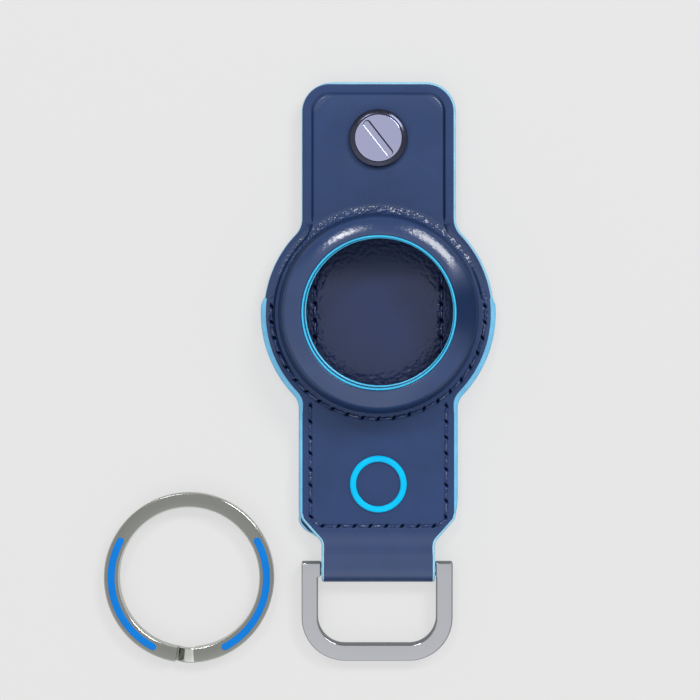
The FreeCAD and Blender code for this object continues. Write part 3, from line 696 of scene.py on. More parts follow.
def leather_material(name, colour, sizes, dull, bright):
    """Smooth calf leather, dyed through and glazed: satin, with fine pores, a little cloudy, wrinkled and
    glossier where it was moulded, dark in the crease partly with painted shade, and black with painted shade
    down in the needle holes."""
    material, tree, shader, place = new_material(name)
    pressed, wrinkled, polished = (add_node(tree, "Attribute", {}, attribute_name=share)["Fac"]
                                   for share in ("pressed", "wrinkled", "polished"))
    cloud = add_node(tree, "TexNoise", {"Vector": place, "Scale": 1 / (6 * MM), "Detail": 3.0,
                                        "Roughness": 0.55})[0]
    cloudy = add_node(tree, "Mix", {0: cloud, 6: toned(colour, 0.8), 7: toned(colour, 1.2)},
                      data_type="RGBA")[2]
    # Painted shade: this share darkens the leather towards near black, in the crease, down in the needle
    # holes, on the dome's wall and in the pocket's throat, and dulls its shine there.
    base = add_node(tree, "Mix", {0: pressed, 6: cloudy, 7: linear("#07070d")}, data_type="RGBA")[2]
    tree.links.new(base, shader["Base Color"])
    glazed = add_node(tree, "MapRange", {"Value": polished, "To Min": dull, "To Max": bright})[0]
    worn = add_node(tree, "MapRange", {"Value": cloud, "From Min": 0.3, "From Max": 0.7,
                                       "To Min": 0.37, "To Max": 0.46})[0]
    rough = add_node(tree, "MapRange", {"Value": polished, "To Min": worn, "To Max": 0.17})[0]
    for socket, level, deep in (("Specular IOR Level", glazed, 0.0), ("Roughness", rough, 0.9)):
        level = add_node(tree, "MapRange", {"Value": pressed, "From Max": 0.55, "To Min": level,
                                            "To Max": deep})[0]
        tree.links.new(level, shader[socket])
    grain = add_node(tree, "TexNoise", {"Vector": place, "Scale": 1 / sizes.grain, "Detail": 2.0,
                                        "Roughness": 0.6})[0]
    pores = add_node(tree, "MapRange", {"Value": polished, "To Min": 0.5, "To Max": 0.12})[0]
    normal = add_node(tree, "Bump", {"Height": grain, "Strength": pores, "Distance": 0.06 * MM})[0]
    folds = add_node(tree, "TexNoise", {"Vector": place, "Scale": 1 / sizes.wrinkle, "Detail": 2.0,
                                        "Roughness": 0.55, "Distortion": 0.9})[0]
    normal = add_node(tree, "Bump", {"Height": folds, "Strength": wrinkled, "Distance": 0.22 * MM,
                                     "Normal": normal})[0]
    # Pebbles of 0.7 mm, drawn coarser than the real grain so that their glints show in the render
    pebbles = add_node(tree, "TexVoronoi", {"Vector": place, "Scale": 1 / (0.7 * MM)})["Distance"]
    normal = add_node(tree, "Bump", {"Height": pebbles, "Strength": wrinkled, "Distance": 0.3 * MM,
                                     "Normal": normal}, invert=True)[0]
    tree.links.new(normal, shader["Normal"])
    return material


def paint_material(name, colour):
    """Acrylic edge paint, brushed on in coats: bright, slightly uneven, with a soft shine."""
    return mottled_material(name, colour, 2.2 * MM, 2.0, (0.75, 1.2), 0.35, 0.12 * MM, Roughness=0.38,
                            Coat_Weight=0.25, Coat_Roughness=0.2)[0]


def thread_material(colour):
    """Waxed polyester thread, dyed with the leather: fibrous, with small wax glints."""
    material, tree, shader, place = mottled_material("waxed_polyester_thread", colour, 0.18 * MM, 2.0,
                                                     (0.4, 1.6), 0.6, 0.12 * MM, Roughness=0.14)
    wax = add_node(tree, "TexNoise", {"Vector": place, "Scale": 1 / (0.7 * MM)})[0]
    wax = add_node(tree, "MapRange", {"Value": wax, "From Min": 0.46, "From Max": 0.56, "To Min": 0.2,
                                      "To Max": 1.0})[0]
    tree.links.new(wax, shader["Specular IOR Level"])
    return material


def enamel_material(name, colour):
    """Soft enamel, poured and cured: glassy, very slightly wavy, a little deeper in places."""
    return mottled_material(name, colour, 3 * MM, 1.0, (0.85, 1.1), 0.15, 0.2 * MM, Roughness=0.3,
                            Specular_IOR_Level=0.05, Coat_Weight=0.15, Coat_Roughness=0.05)[0]


def metal_material(name, colour, smooth, rough, grit):
    """Plated or bare metal: reflections softened by fine polishing marks of a given width."""
    material, tree, shader, place = new_material(name, Base_Color=colour, Metallic=1.0)
    marks = add_node(tree, "TexNoise", {"Vector": place, "Scale": 1 / grit, "Detail": 3.0})[0]
    worn = add_node(tree, "MapRange", {"Value": marks, "From Min": 0.3, "From Max": 0.7, "To Min": smooth,
                                       "To Max": rough})[0]
    tree.links.new(worn, shader["Roughness"])
    bump = add_node(tree, "Bump", {"Height": marks, "Strength": 0.08, "Distance": 0.02 * MM})[0]
    tree.links.new(bump, shader["Normal"])
    return material


def nickel_material(colours):
    """Polished nickel plate, a soft mirror, made once for the D-ring and the screw's post."""
    name = "polished_nickel"
    return bpy.data.materials.get(name) or metal_material(name, colours.nickel[:], 0.08, 0.16, 0.6 * MM)


# Pieces


# How a cut leather edge is rounded: distances in from the edge, and heights over the leather's middle
CUT_EDGE = [(0.5, -HALF), (0.3, -HALF), (0.17, -0.54), (0.1, -0.36), (0.09, 0), (0.1, 0.38), (0.15, 0.54),
            (0.24, 0.59), (0.36, HALF), (0.5, HALF)]

# Slope of the moulded dome in degrees, at distances from its middle
DOME_SLOPE = [(13.7, 8), (14.5, 15), (15.0, 18), (15.5, 21.5), (16.0, 25), (16.4, 31), (16.8, 42), (17.2, 58),
              (17.5, 75), (17.68, 87)]

# The dome's rings as distances from its middle and heights: the flange, the wall from its foot upwards, the
# window's edge, and the pocket's roof and wall inside
FLANGE = [(19.5 - step * 0.1, FACE) for step in range(12)]
WALL = [(18.3, 3.62), (18.2, 3.65), (18.1, 3.72), (18.0, 3.84), (17.93, 4.0), (17.88, 4.25), (17.84, 4.6),
        (17.8, 5.6), (17.77, 6.8), (17.74, 7.6)]
WINDOW_EDGE = [(13.47, 12.12), (13.38, 12.0)]
INSIDE = [(13.34, 11.6), (13.34, 11.05), (14.6, 11.05), (16.1, 11.05), (16.45, 10.9), (16.6, 10.6),
          (16.6, 8.0), (16.6, 5.0), (16.6, 2.4)]

# How far the wall is drawn in, how high and wide its foot rises on the flap's side, and half the sewn channel
WALL_TUCK = 0.45
FOOT_RISE = 0.55
FOOT_START = 19.3
FOOT_WIDTH = 1.7
SEWN_HALF = 0.45

# The creased line round the dome: inset from the disc's edge, half width and depth
ROUND_CREASE_INSET = 1.85
ROUND_CREASE_HALF = 0.17
ROUND_CREASE_DEPTH = 0.12


def cut_edge(tail, middle):
    """Rounded edge all round a blank, whose lower part is its tail."""
    return make_sheet("edge", [lift(whole(upper_outline(inset) + tail(inset)), middle + over)
                               for inset, over in CUT_EDGE], closed=True)


def seam_angles():
    """Directions round the disc, closer together where it is sewn."""
    return [4 + step for step in range(172)] + [176 + step * 0.5 for step in range(376)]


def crease_round_dome(across, up):
    """How deep the creased line lies where it leaves the flap and runs on round the foot of the dome."""
    side = math.degrees(math.atan2(up, abs(across)))
    if side < BLEND_ANGLE:
        away = math.hypot(across, up) - (DISC - ROUND_CREASE_INSET)
    else:
        away = math.hypot(abs(across) - NECK - BLEND, up - BLEND_RISE) - (BLEND + ROUND_CREASE_INSET)
    right = band(side, 4, 12, 22, 32) + ease(side, 46, 52)
    left = ease(side, -42, -25)
    return math.exp(-(away / ROUND_CREASE_HALF) ** 2) * (right if across > 0 else left) * ease(side, 74, 70)


def crown_rings():
    """Rings over the crown from the window outwards, worked out from its slope."""
    rings = [(13.6, CROWN - 0.07), (13.7, CROWN - 0.08)]
    for (start, slope), (end, next_slope) in zip(DOME_SLOPE, DOME_SLOPE[1:]):
        for step in range(4):
            radius, height = rings[-1]
            tilt = math.radians(slope + (next_slope - slope) * (step + 0.5) / 4)
            rings.append((radius + (end - start) / 4, height - math.tan(tilt) * (end - start) / 4))
    return rings


def dome_sheet(seam_depth):
    """Flange and dome of the front leather as rings, from the flange up over the crown and back inside. The
    foot is drawn tight where it is sewn and rises softly on the flap's side."""
    outer = FLANGE + WALL + list(reversed(crown_rings())) + WINDOW_EDGE
    rows = []
    for number, (radius, height) in enumerate(outer + INSIDE):
        outside = number < len(outer)
        reach = radius - WALL_TUCK * band(radius, 16.2, 17.4, 18.1, 19.4) * outside
        climb = (max(min(FOOT_START - reach, FOOT_WIDTH), 0) / FOOT_WIDTH) ** 2.2 * ease(height, 6.5, 3.8)
        row = []
        for angle in seam_angles():
            turn = math.radians(angle)
            across, up = reach * math.cos(turn), reach * math.sin(turn)
            away = min(abs(reach - seam_radius(turn)) / SEWN_HALF, 1)
            fall = seam_depth * band(angle, 170, 178, 362, 370) * math.cos(math.pi / 2 * away) ** 2
            if outside:
                fall -= FOOT_RISE * band(angle, 4, 25, 155, 176) * climb
            if 17.6 < reach < 19.45 and height < 4:
                fall += ROUND_CREASE_DEPTH * crease_round_dome(across, up)
            row.append((across, up, height - fall))
        rows.append(row)
    return make_sheet("dome", rows, closed=True)


def round_place(across, up):
    """Distance and direction in degrees from the middle of the disc."""
    return math.hypot(across, up), math.degrees(math.atan2(up, across)) % 360


def wrinkled_front(across, up, height):
    """Where the front leather wrinkled as it was moulded: round the foot of the dome, most at the flap,
    finely on the crown, and where the seam pulls at its ends."""
    radius, turn = round_place(across, up)
    foot = band(radius, 17.2, 17.6, 18.6, 19.3) * band(turn, 2, 30, 145, 172)
    foot *= 0.35 + 0.4 * ease(turn, 55, 80)
    crown = band(radius, 14.0, 14.8, 16.4, 17.0) * band(turn, 12, 35, 128, 155)
    ends = band(radius, 18.2, 18.5, 19.2, 19.5)
    ends *= max(ease(turn, 20, 4) + ease(turn, 350, 358), band(turn, 165, 176, 185, 200))
    return max(foot, 0.05 * crown, 0.7 * ends)


def polished_front(across, up, height):
    """The dome was polished as it was pressed, also its foot at the flap. The tool shone the crease's
    corners, and the strap and the disc's sides are worn smooth."""
    radius, turn = round_place(across, up)
    foot = band(radius, 16.9, 17.3, 19.0, 19.6) * band(turn, 5, 20, 150, 170)
    centre = (NECK - FLAP_CORNER, FLAP_TOP - FLAP_CORNER)
    away = math.dist((abs(across), up), centre)
    corner = band(away, 2.6, 2.75, 3.1, 3.25) if abs(across) > centre[0] and up > centre[1] else 0
    strap = ease(up, -37.8, -39.8)
    sides = 0.6 * ease(radius, 17.9, 18.4) * ease(abs(up), 10, 4)
    return max(ease(radius, 16.9, 16.3), foot, corner, strap, sides)


def dulled_front(across, up, height):
    """Painted shade, darker and duller: down the dome's wall, in the crease round its foot, at the window's
    inner edge and on the dome's shaded side.
    """
    radius, turn = round_place(across, up)
    wall = band(radius, 16.5, 17.0, 17.5, 17.7)
    shaded = ease(radius, 17.2, 16.8) * max(ease(turn, 40, 8), ease(turn, 325, 358))
    rim = 0.2 * ease(radius, 13.6, 13.45)
    crease = crease_round_dome(across, up) if 17.6 < radius < 19.6 else 0
    return max(0.3 * wall, 0.45 * shaded, rim, 0.65 * crease)


def hole_sheet(low, high):
    """Wall of the post's hole through a layer of leather, with softened rims."""
    soft, slight = 0.25, 0.06
    section = ((soft, low), (slight, low + slight), (0, low + soft),
               (0, high - soft), (slight, high - slight), (soft, high))
    return make_sheet("hole", [lift(arc((0, SCREW_PLACE), POST_HOLE + grow, 0, 360, 48), height)
                               for grow, height in section], closed=True)


def crease_path(inset):
    """Creased line round the flap, from the foot of the dome on one side to the other."""
    foot = 19.62
    right = [spot for spot in upper_outline(inset)[:SEAM_START] if math.hypot(*spot) > foot]
    return list(reversed(mirror(right[1:]) + right))


class TAGHOLDER_OT_front_leather(bpy.types.Operator):
    """Front leather in one piece: flap, moulded dome, neck, strap and tongue"""
    bl_idname = "tagholder.front_leather"
    bl_label = "Front Leather"

    column_depth = 0.3

    def execute(self, context):
        settings = context.scene.tag_holder
        sizes = settings.sizes
        crease = both_sides(*(sizes.crease_width / MM * share for share in (0.12, 0.25, 0.38, 0.55, 0.72)))
        parts = [cut_edge(front_tail, FRONT_MIDDLE), dome_sheet(sizes.seam_depth / MM),
                 hole_sheet(PARTING, FACE),
                 ribbon("crease", crease_path(sizes.crease_inset / MM), crease, sizes.crease_depth / MM, 0.3,
                        shade=0.75),
                 ribbon("seam", seam_path(), CHANNEL, sizes.seam_depth / MM, 0.2)]
        for side in COLUMNS:
            column = [(side, laid_flat(TONGUE_FOOT)), (side, laid_flat(COLUMN_TOP))]
            parts.append(ribbon("column", column, CHANNEL, self.column_depth, 0.25))
        leather = weld(join("leather", *parts))
        fill_flat(leather, FACE)
        fill_flat(leather, PARTING)
        cut_across(leather, FLAP_CUTS + STRAP_CUTS)
        press_needle_holes(leather, front_seam()[1], sizes.needle_depth / MM, FACE)
        note(leather, wrinkled=wrinkled_front, polished=polished_front, pressed=dulled_front)
        move(leather, wrap)
        weld(leather)
        material = leather_material("calf_leather", settings.colours.leather[:], sizes, 0.34, 0.65)
        finish(leather, "leather_front", material, ("holder", "flap"),
               ("front_leather", "front_flap"))
        return {"FINISHED"}


def slip_shoulder(across, up, height):
    """The back layer's left shoulder was cut a little lower than the front's, so that its edge shows."""
    out, down = 0.4, 0.9
    share = ease(-across, 6, 10) * ease(up, -34.0, -35.2) * (1 - 0.75 * ease(up, -37.2, -39.2))
    return across - out * share, up - down * share, height


def column_pull(across, up):
    """How strongly the tongue's seams pull at a place on the pocket's floor."""
    return ease(abs(abs(across) - POCKET_COLUMN), 1.3, 0.1) * band(up, -11.6, -10.4, 7.5, 9.0)


def pocket_floor(level):
    """Fine patch of the back panel inside the pocket, wrinkled at its edge and puckered along both seams."""
    half, pitch = 13.4, 0.2
    fold, pucker, channel = 0.08, 0.15, 0.09
    places = [pitch * step - half for step in range(round(2 * half / pitch) + 1)]
    rows = []
    for up in places:
        row = []
        for across in places:
            radius = math.hypot(across, up)
            turn = math.atan2(up, across)
            still = ease(half - max(abs(across), abs(up)), 0, 0.8)
            folds = noise.noise((turn * 13 / 1.5, radius / 0.55, 0))
            folds += 0.6 * noise.noise((across / 0.5, up / 0.4, 5))
            pull = pucker * noise.noise((across / 0.5, up / 0.55, 9))
            pull -= channel * ease(abs(abs(across) - POCKET_COLUMN), 0.5, 0)
            rise = fold * ease(radius, 7.5, 12.0) * folds + pull * column_pull(across, up)
            row.append((across, up, level + rise * still))
        rows.append(row)
    return make_sheet("pocket_floor", rows)


def wrinkled_floor(across, up, height):
    """The pocket's floor is wrinkled towards its edge and where the tongue's seams pull."""
    return max(0.35 * ease(round_place(across, up)[0], 8.0, 12.5), 0.7 * column_pull(across, up))


def polished_floor(across, up, height):
    """The pocket's floor is glazed."""
    return ease(round_place(across, up)[0], 18.0, 14.0)


def dulled_floor(across, up, height):
    """Painted shade, darker towards the pocket's throat under the dome's roof and towards its edge."""
    radius = round_place(across, up)[0]
    return 0.25 * max(ease(up, 4.5, 11.0), ease(radius, 10.0, 13.2)) * ease(radius, 19, 15)


class TAGHOLDER_OT_back_leather(bpy.types.Operator):
    """Back panel, whose face is the pocket's floor, and the lining of the dome"""
    bl_idname = "tagholder.back_leather"
    bl_label = "Back Leather"

    def execute(self, context):
        settings = context.scene.tag_holder
        bottom = BACK_MIDDLE - HALF
        leather = weld(join("leather", cut_edge(back_tail, BACK_MIDDLE), hole_sheet(bottom, PARTING),
                            pocket_floor(PARTING)))
        fill_flat(leather, PARTING)
        fill_flat(leather, bottom)
        press_needle_holes(leather, column_seams(POCKET_FOOT)[1], settings.sizes.needle_depth / MM, PARTING)
        note(leather, wrinkled=wrinkled_floor, polished=polished_floor, pressed=dulled_floor)
        move(leather, slip_shoulder)
        weld(leather)
        material = leather_material("glazed_calf", settings.colours.pocket[:], settings.sizes, 0.34, 0.45)
        finish(leather, "leather_back", material, "holder", ("back_panel",))
        section = [(16.1, 2.42), (16.58, 2.42), (16.58, 10.6), (16.45, 10.9), (16.18, 11.03), (13.36, 11.03),
                   (13.36, 10.57), (15.85, 10.57), (16.03, 10.5), (16.1, 10.32)]
        lip = [(13.4, 11.09), (12.92, 11.08), (12.9, 11.05), (12.92, 11.02), (13.4, 11.01)]
        lining = join("lining", spin_ring("lining", section, steps=128),
                      spin_ring("lip", lip, centre=(0.08, 0.09), steps=160))
        finish(lining, "lining_dome", material, "holder", ("dome_lining",))
        return {"FINISHED"}


# Sections of the coats of paint, as distances in from the blank's edge and heights over the middle
THIN_COAT = [(0.24, 0.58), (0.06, 0.585), (-0.1, 0.44), (-0.17, 0.2), (-0.19, 0), (-0.17, -0.2),
             (-0.1, -0.44), (0.02, -0.56), (0.2, -0.56), (0.3, 0)]
THINNER_COAT = [(0.2, 0.5), (0.13, 0.5), (0.04, 0.36), (0.02, 0.2), (0.01, 0), (0.02, -0.2), (0.04, -0.4),
                (0.1, -0.5), (0.2, -0.52), (0.3, 0)]
BEAD = [(0.4, 1.2), (0.2, 1.22), (0.0, 1.16), (-0.22, 1.0), (-0.42, 0.72), (-0.52, 0.4), (-0.5, 0.1),
        (-0.44, 0), (-0.5, -0.1), (-0.52, -0.4), (-0.42, -0.72), (-0.22, -1.0), (0.0, -1.16), (0.3, -1.2),
        (0.6, 0)]


def coat(section, first, last, middle, tail, left_section=None):
    """Coat of paint along a stretch of a blank's edge: on the right and, if it starts at the top, on the left
    too, where its section may turn into another one."""
    corner_start, corner_end = 6.5, 12.4
    rows = []
    for (inset, over), (left_inset, left_over) in zip(section + section[:1], (left_section or section) * 2):
        right = (upper_outline(inset) + tail(inset))[first:last]
        points = lift(reversed(right), middle + over)
        if first == 0:
            left = (upper_outline(left_inset) + tail(left_inset))[first:last]
            for (across, up), (left_across, left_up) in zip(right[1:], left[1:]):
                turned = ease(across, corner_start, corner_end)
                points.append((-across - (left_across - across) * turned, up + (left_up - up) * turned,
                               middle + over + (left_over - over) * turned))
        rows.append(points if first == 0 else list(reversed(points)))
    piece = weld(make_sheet("coat", rows))
    cap_ends(piece)
    return weld(piece)


class TAGHOLDER_OT_edge_paint(bpy.types.Operator):
    """Painted cut edges: thin coats on the parted layers, the thick bead of the seam, strap and window"""
    bl_idname = "tagholder.edge_paint"
    bl_label = "Edge Paint"

    def execute(self, context):
        colours = context.scene.tag_holder.colours
        material = paint_material("acrylic_edge_paint", colours.paint[:])
        # Paler copy of the edge paint for the thin coats: a painted sheen.
        pale = paint_material("acrylic_edge_paint_thin", colours.thin_paint[:])
        front = coat(THIN_COAT, 0, SEAM_START + 1, FRONT_MIDDLE, front_tail, THINNER_COAT)
        cut_across(front, FLAP_CUTS)
        weld(front)
        finish(front, "paint_front_edge", pale, ("holder", "flap"),
               ("front_edge_paint", "flap_edge_paint"))
        back = coat(THIN_COAT, 0, SEAM_START + 1, BACK_MIDDLE, back_tail, THINNER_COAT)
        finish(back, "paint_back_edge", pale, "holder", ("back_edge_paint",))
        seam = mirrored_pair("bead", coat(BEAD, SEAM_START, SEAM_END + 1, PARTING, back_tail))
        move(seam, self.taper)
        finish(seam, "paint_seam_bead", material, "holder", ("seam_edge_paint",))
        layer = mirrored_pair("layer", coat(THIN_COAT, SEAM_END - 2, SEAM_END + 11, BACK_MIDDLE, back_tail))
        move(layer, slip_shoulder)
        strap = join("strap", self.strap_coat(), layer)
        finish(strap, "paint_strap_edge", pale, "holder")
        self.window(paint_material("acrylic_window_paint", colours.rim[:]))
        return {"FINISHED"}

    def taper(self, across, up, height):
        """Thin the bead where it starts on the disc, down the neck and where it runs out at the right
        shoulder."""
        lower, start_length, start_share = 0.1, 1.2, 0.3
        end_length, end_loss = 2.2, 0.6
        if height > FACE - lower:
            height -= lower * ease(up, -15.0, -19.0)
        radius = math.hypot(across, up)
        if up > SEAM_TOP - start_length and radius > DISC:
            full = start_share + (1 - start_share) * ease(up, SEAM_TOP, SEAM_TOP - start_length)
            across *= (DISC + (radius - DISC) * full) / radius
        if up < SHOULDER_TOP + end_length and across > NECK:
            full = 1 - end_loss * ease(up, SHOULDER_TOP + end_length, SHOULDER_TOP)
            across = NECK + (across - NECK) * full
        return across, up, height

    def strap_coat(self):
        """Thin coat along shoulder, strap and tongue, built flat and then carried round the bar."""
        rows = []
        for inset, over in THIN_COAT + THIN_COAT[:1]:
            right = front_tail(inset)
            rows.append(lift(right + mirror(right[:-1]), FRONT_MIDDLE + over))
        piece = weld(make_sheet("strap", rows))
        cap_ends(piece)
        cut_across(piece, STRAP_CUTS)
        move(piece, wrap)
        return weld(piece)

    def window(self, material):
        """Painted rim of the window: the leather's edge, and the lining's a little out of line below it."""
        upper = [(13.4, 11.95), (13.35, 12.1), (13.26, 12.19), (13.13, 12.18), (13.03, 12.08), (12.98, 11.8),
                 (12.99, 11.4), (13.05, 11.14), (13.4, 11.1)]
        lower = [(13.3, 10.99), (13.05, 11.0), (12.88, 10.98), (12.75, 10.91), (12.71, 10.8), (12.75, 10.64),
                 (12.88, 10.56), (13.3, 10.58)]
        rim = join("rim", spin_ring("leather_rim", upper, steps=160),
                   spin_ring("lining_rim", lower, centre=(0.15, 0.17), steps=160))
        finish(rim, "paint_window_edge", material, "holder", ("window_edge_paint",))


class TAGHOLDER_OT_stitches(bpy.types.Operator):
    """Seams of twisted thread round the disc, neck and tongue"""
    bl_idname = "tagholder.stitches"
    bl_label = "Stitches"

    tongue_level = 0.26

    def execute(self, context):
        settings = context.scene.tag_holder
        material = thread_material(settings.colours.thread[:])
        stitch = self.stitch(settings.sizes.thread_width / MM)
        front = copy_along("stitches", stitch, front_seam()[0], FACE)
        finish(front, "thread_seam", material, "holder", ("seam_thread",), 60)
        pocket = copy_along("stitches", stitch, column_seams(POCKET_FOOT)[0], PARTING)
        finish(pocket, "thread_pocket", material, "holder", ("tongue_thread",), 60)
        stitch.data.transform(Matrix.Rotation(math.pi, 4, "X"))
        back = copy_along("stitches", stitch, column_seams(TONGUE_FOOT)[0], self.tongue_level)
        finish(back, "thread_tongue", material, "holder", (), 60)
        make_active(stitch)
        bpy.ops.object.delete()
        return {"FINISHED"}

    def stitch(self, width):
        """One stitch of two twisted plies that dives into the leather at both ends."""
        rows = []
        gap, rise, dive = 0.12, 0.02, 0.32
        half = STITCH_PITCH / 2 - gap
        for step in range(11):
            along = step / 5 - 1
            swell = max(1 - abs(along) ** 5, 0.0) ** 0.5
            twist = along * math.pi * 0.9
            level = rise - dive * abs(along) ** 3
            row = []
            for corner in range(10):
                turn = 2 * math.pi * corner / 10
                radius = width / 2 * swell * (0.86 + 0.16 * math.cos(2 * (turn - twist)))
                row.append((half * along, radius * math.cos(turn), level + 0.8 * radius * math.sin(turn)))
            rows.append(row)
        return weld(make_sheet("stitch", rows, closed=True))


class TAGHOLDER_OT_screw(bpy.types.Operator):
    """Slotted screw, its bevelled cup ring and the threaded post behind"""
    bl_idname = "tagholder.screw"
    bl_label = "Screw"

    spot = (0, SCREW_PLACE)
    foot = FACE + 0.4
    top = foot + 1.05
    head, shank = 4.12, 1.6
    shank_end = 1.4
    slot_turn = math.radians(-52)
    slot_length, slot_width, slot_height = 7.7, 1.26, 1.3
    slot_rounding = 0.628
    rim_bevel = 0.075

    def execute(self, context):
        colours = context.scene.tag_holder.colours
        screw = self.cylinder(self.head, self.foot, self.top)
        cut_out(screw, self.slot_cutter())
        self.ease_edges(screw)
        screw = join("screw", screw, self.cylinder(self.shank, self.shank_end, self.foot + 0.05))
        gunmetal = metal_material("gunmetal_plate", colours.gunmetal[:], 0.14, 0.26, 0.6 * MM)
        # Near-black copy of the cup's steel for the slot's walls: painted shade in the slot.
        oxide = metal_material("black_oxide_steel", toned(colours.gunmetal, 0.12), 0.3, 0.45, 0.4 * MM)
        material = metal_material("polished_screw_steel", colours.screw[:], 0.10, 0.2, 0.4 * MM)
        finish(screw, "screw_head", material, "screw", ("clamp_screw",), 18)
        screw.data.materials.append(oxide)
        # Painted shade: the slot's upper walls take the near-black steel.
        for face in screw.data.polygons:
            inner = math.dist(face.center.xy / MM, self.spot) < self.head - 0.14
            if abs(face.normal.z) < 0.45 and face.center.z > (self.foot + 0.3) * MM and inner:
                face.material_index = 1
        section = [(2.2, 0), (4.95, 0), (5.07, 0.06), (5.1, 0.2), (5.1, 0.74), (5.06, 0.86), (4.95, 0.95),
                   (4.74, 1.04), (4.5, 1.135), (4.32, 1.2), (4.23, 1.2), (4.19, 1.15), (4.185, 0.4),
                   (2.2, 0.4)]
        cup = spin_ring("cup", section, self.spot, 128, FACE)
        finish(cup, "screw_cup", gunmetal, "collar", ("screw_collar",), 40)
        section = [(0.0001, 0), (4.6, 0), (4.85, 0.07), (5.03, 0.25), (5.1, 0.5), (5.1, 1.2), (2.5, 1.2),
                   (2.5, 3.38), (2.44, 3.45), (2.06, 3.45), (2.0, 3.38), (2.0, 0.8), (0.0001, 0.8)]
        post = spin_ring("post", section, self.spot)
        material = nickel_material(colours)
        finish(post, "screw_post_body", material, "holder", ("screw_post",), 35)
        return {"FINISHED"}

    def cylinder(self, radius, low, high):
        deselect()
        bpy.ops.mesh.primitive_cylinder_add(vertices=128, radius=radius * MM, depth=(high - low) * MM,
                                            location=Vector((*self.spot, (low + high) / 2)) * MM)
        bpy.ops.object.transform_apply(location=True, rotation=False, scale=False)
        return bpy.context.object

    def slot_cutter(self):
        """Round-ended bar that cuts the screw's slot, narrower and shorter down in the head."""
        deselect()
        bpy.ops.mesh.primitive_cube_add(size=1)
        cutter = bpy.context.object
        size = (self.slot_length * MM, self.slot_width * MM, self.slot_height * MM, 1)
        cutter.data.transform(Matrix.Diagonal(size))
        select_edges(cutter, lambda edge: abs(edge.verts[0].co.z - edge.verts[1].co.z) > 0.5 * MM)
        bpy.ops.mesh.bevel(offset=self.slot_rounding * MM, segments=10, affect="EDGES")
        object_mode()
        straight = (self.slot_length / 2 - 0.63) * MM
        for vertex in cutter.data.vertices:
            if vertex.co.z < 0:
                vertex.co.x -= 0.2 * math.copysign(max(abs(vertex.co.x) - straight, 0), vertex.co.x)
            if vertex.co.y > 0:
                vertex.co.y *= 1 + math.copysign(0.35, vertex.co.z)
        cutter.data.transform(Matrix.Translation(Vector((*self.spot, self.top)) * MM)
                              @ Matrix.Rotation(self.slot_turn, 4, "Z"))
        return cutter

    def ease_edges(self, screw):
        """Break the sharp edges of the head's rim and of the slot's lower side."""
        way = Vector((-math.sin(self.slot_turn), math.cos(self.slot_turn)))

        def eased(vertex):
            place = vertex.co.xy / MM - Vector(self.spot)
            edge = place.length > self.head - 0.07 or way.dot(place) < -0.3
            return abs(vertex.co.z / MM - self.top) < 1e-4 and edge

        select_edges(screw, lambda edge: all(eased(vertex) for vertex in edge.verts)
                     and edge.calc_face_angle(0) > 0.5)
        bpy.ops.mesh.bevel(offset=self.rim_bevel * MM, segments=2, affect="EDGES")
        object_mode()


class TAGHOLDER_OT_d_ring(bpy.types.Operator):
    """Flat polished D-ring with its round bar"""
    bl_idname = "tagholder.d_ring"
    bl_label = "D-Ring"

    half, drop, corner = 13.3, 16.2, 7.65
    width, thickness, rounding = 2.85, 2.8, 0.26
    right_stub, left_stub = 10.28, 9.87
    stub_end, stub_foot, arm_start = 1.2, -1.15, -1.35
    bar, bar_length = 1.05, 22.5
    shift = -0.2
    tilt = math.radians(3.371)

    def outline(self, inset, right_stub, left_stub):
        """One edge of the bow, from the right arm's stub at the bar round to the left one's."""
        half, drop, corner = self.half - inset, self.drop - inset, self.corner - inset
        right = line((half, self.arm_start), (half, corner - drop), 8)
        right += arc((half - corner, corner - drop), corner, 0, -90, 28)
        right += line((half - corner, -drop), (0, -drop), 4) + [(0, -drop)]
        stub = [(right_stub, self.stub_end), (right_stub, self.stub_foot)]
        return stub + right + mirror(right[:-1]) + [(-left_stub, self.stub_foot), (-left_stub, self.stub_end)]

    def execute(self, context):
        outer = self.outline(0, self.half, self.half)
        inner = self.outline(self.width, self.right_stub, self.left_stub)
        ring = make_sheet("ring", [lift(edge, -self.thickness / 2) for edge in (outer, inner)])
        extrude(ring, self.thickness)
        round_edges(ring, self.rounding, 4)
        deselect()
        bpy.ops.mesh.primitive_cylinder_add(vertices=48, radius=self.bar * MM, depth=self.bar_length * MM,
                                            rotation=(0, math.pi / 2, 0))
        bar = bpy.context.object
        bpy.ops.object.transform_apply(location=True, rotation=True, scale=True)
        ring = join("ring", ring, bar)
        ring.data.transform(Matrix.Translation(Vector((self.shift, BAR_PLACE, BAR_HEIGHT)) * MM)
                            @ Matrix.Rotation(self.tilt, 4, "X"))
        material = nickel_material(context.scene.tag_holder.colours)
        finish(ring, "d_ring_nickel", material, "d_ring", ("d_ring",), 35)
        modify(ring, "WEIGHTED_NORMAL", keep_sharp=True)
        return {"FINISHED"}


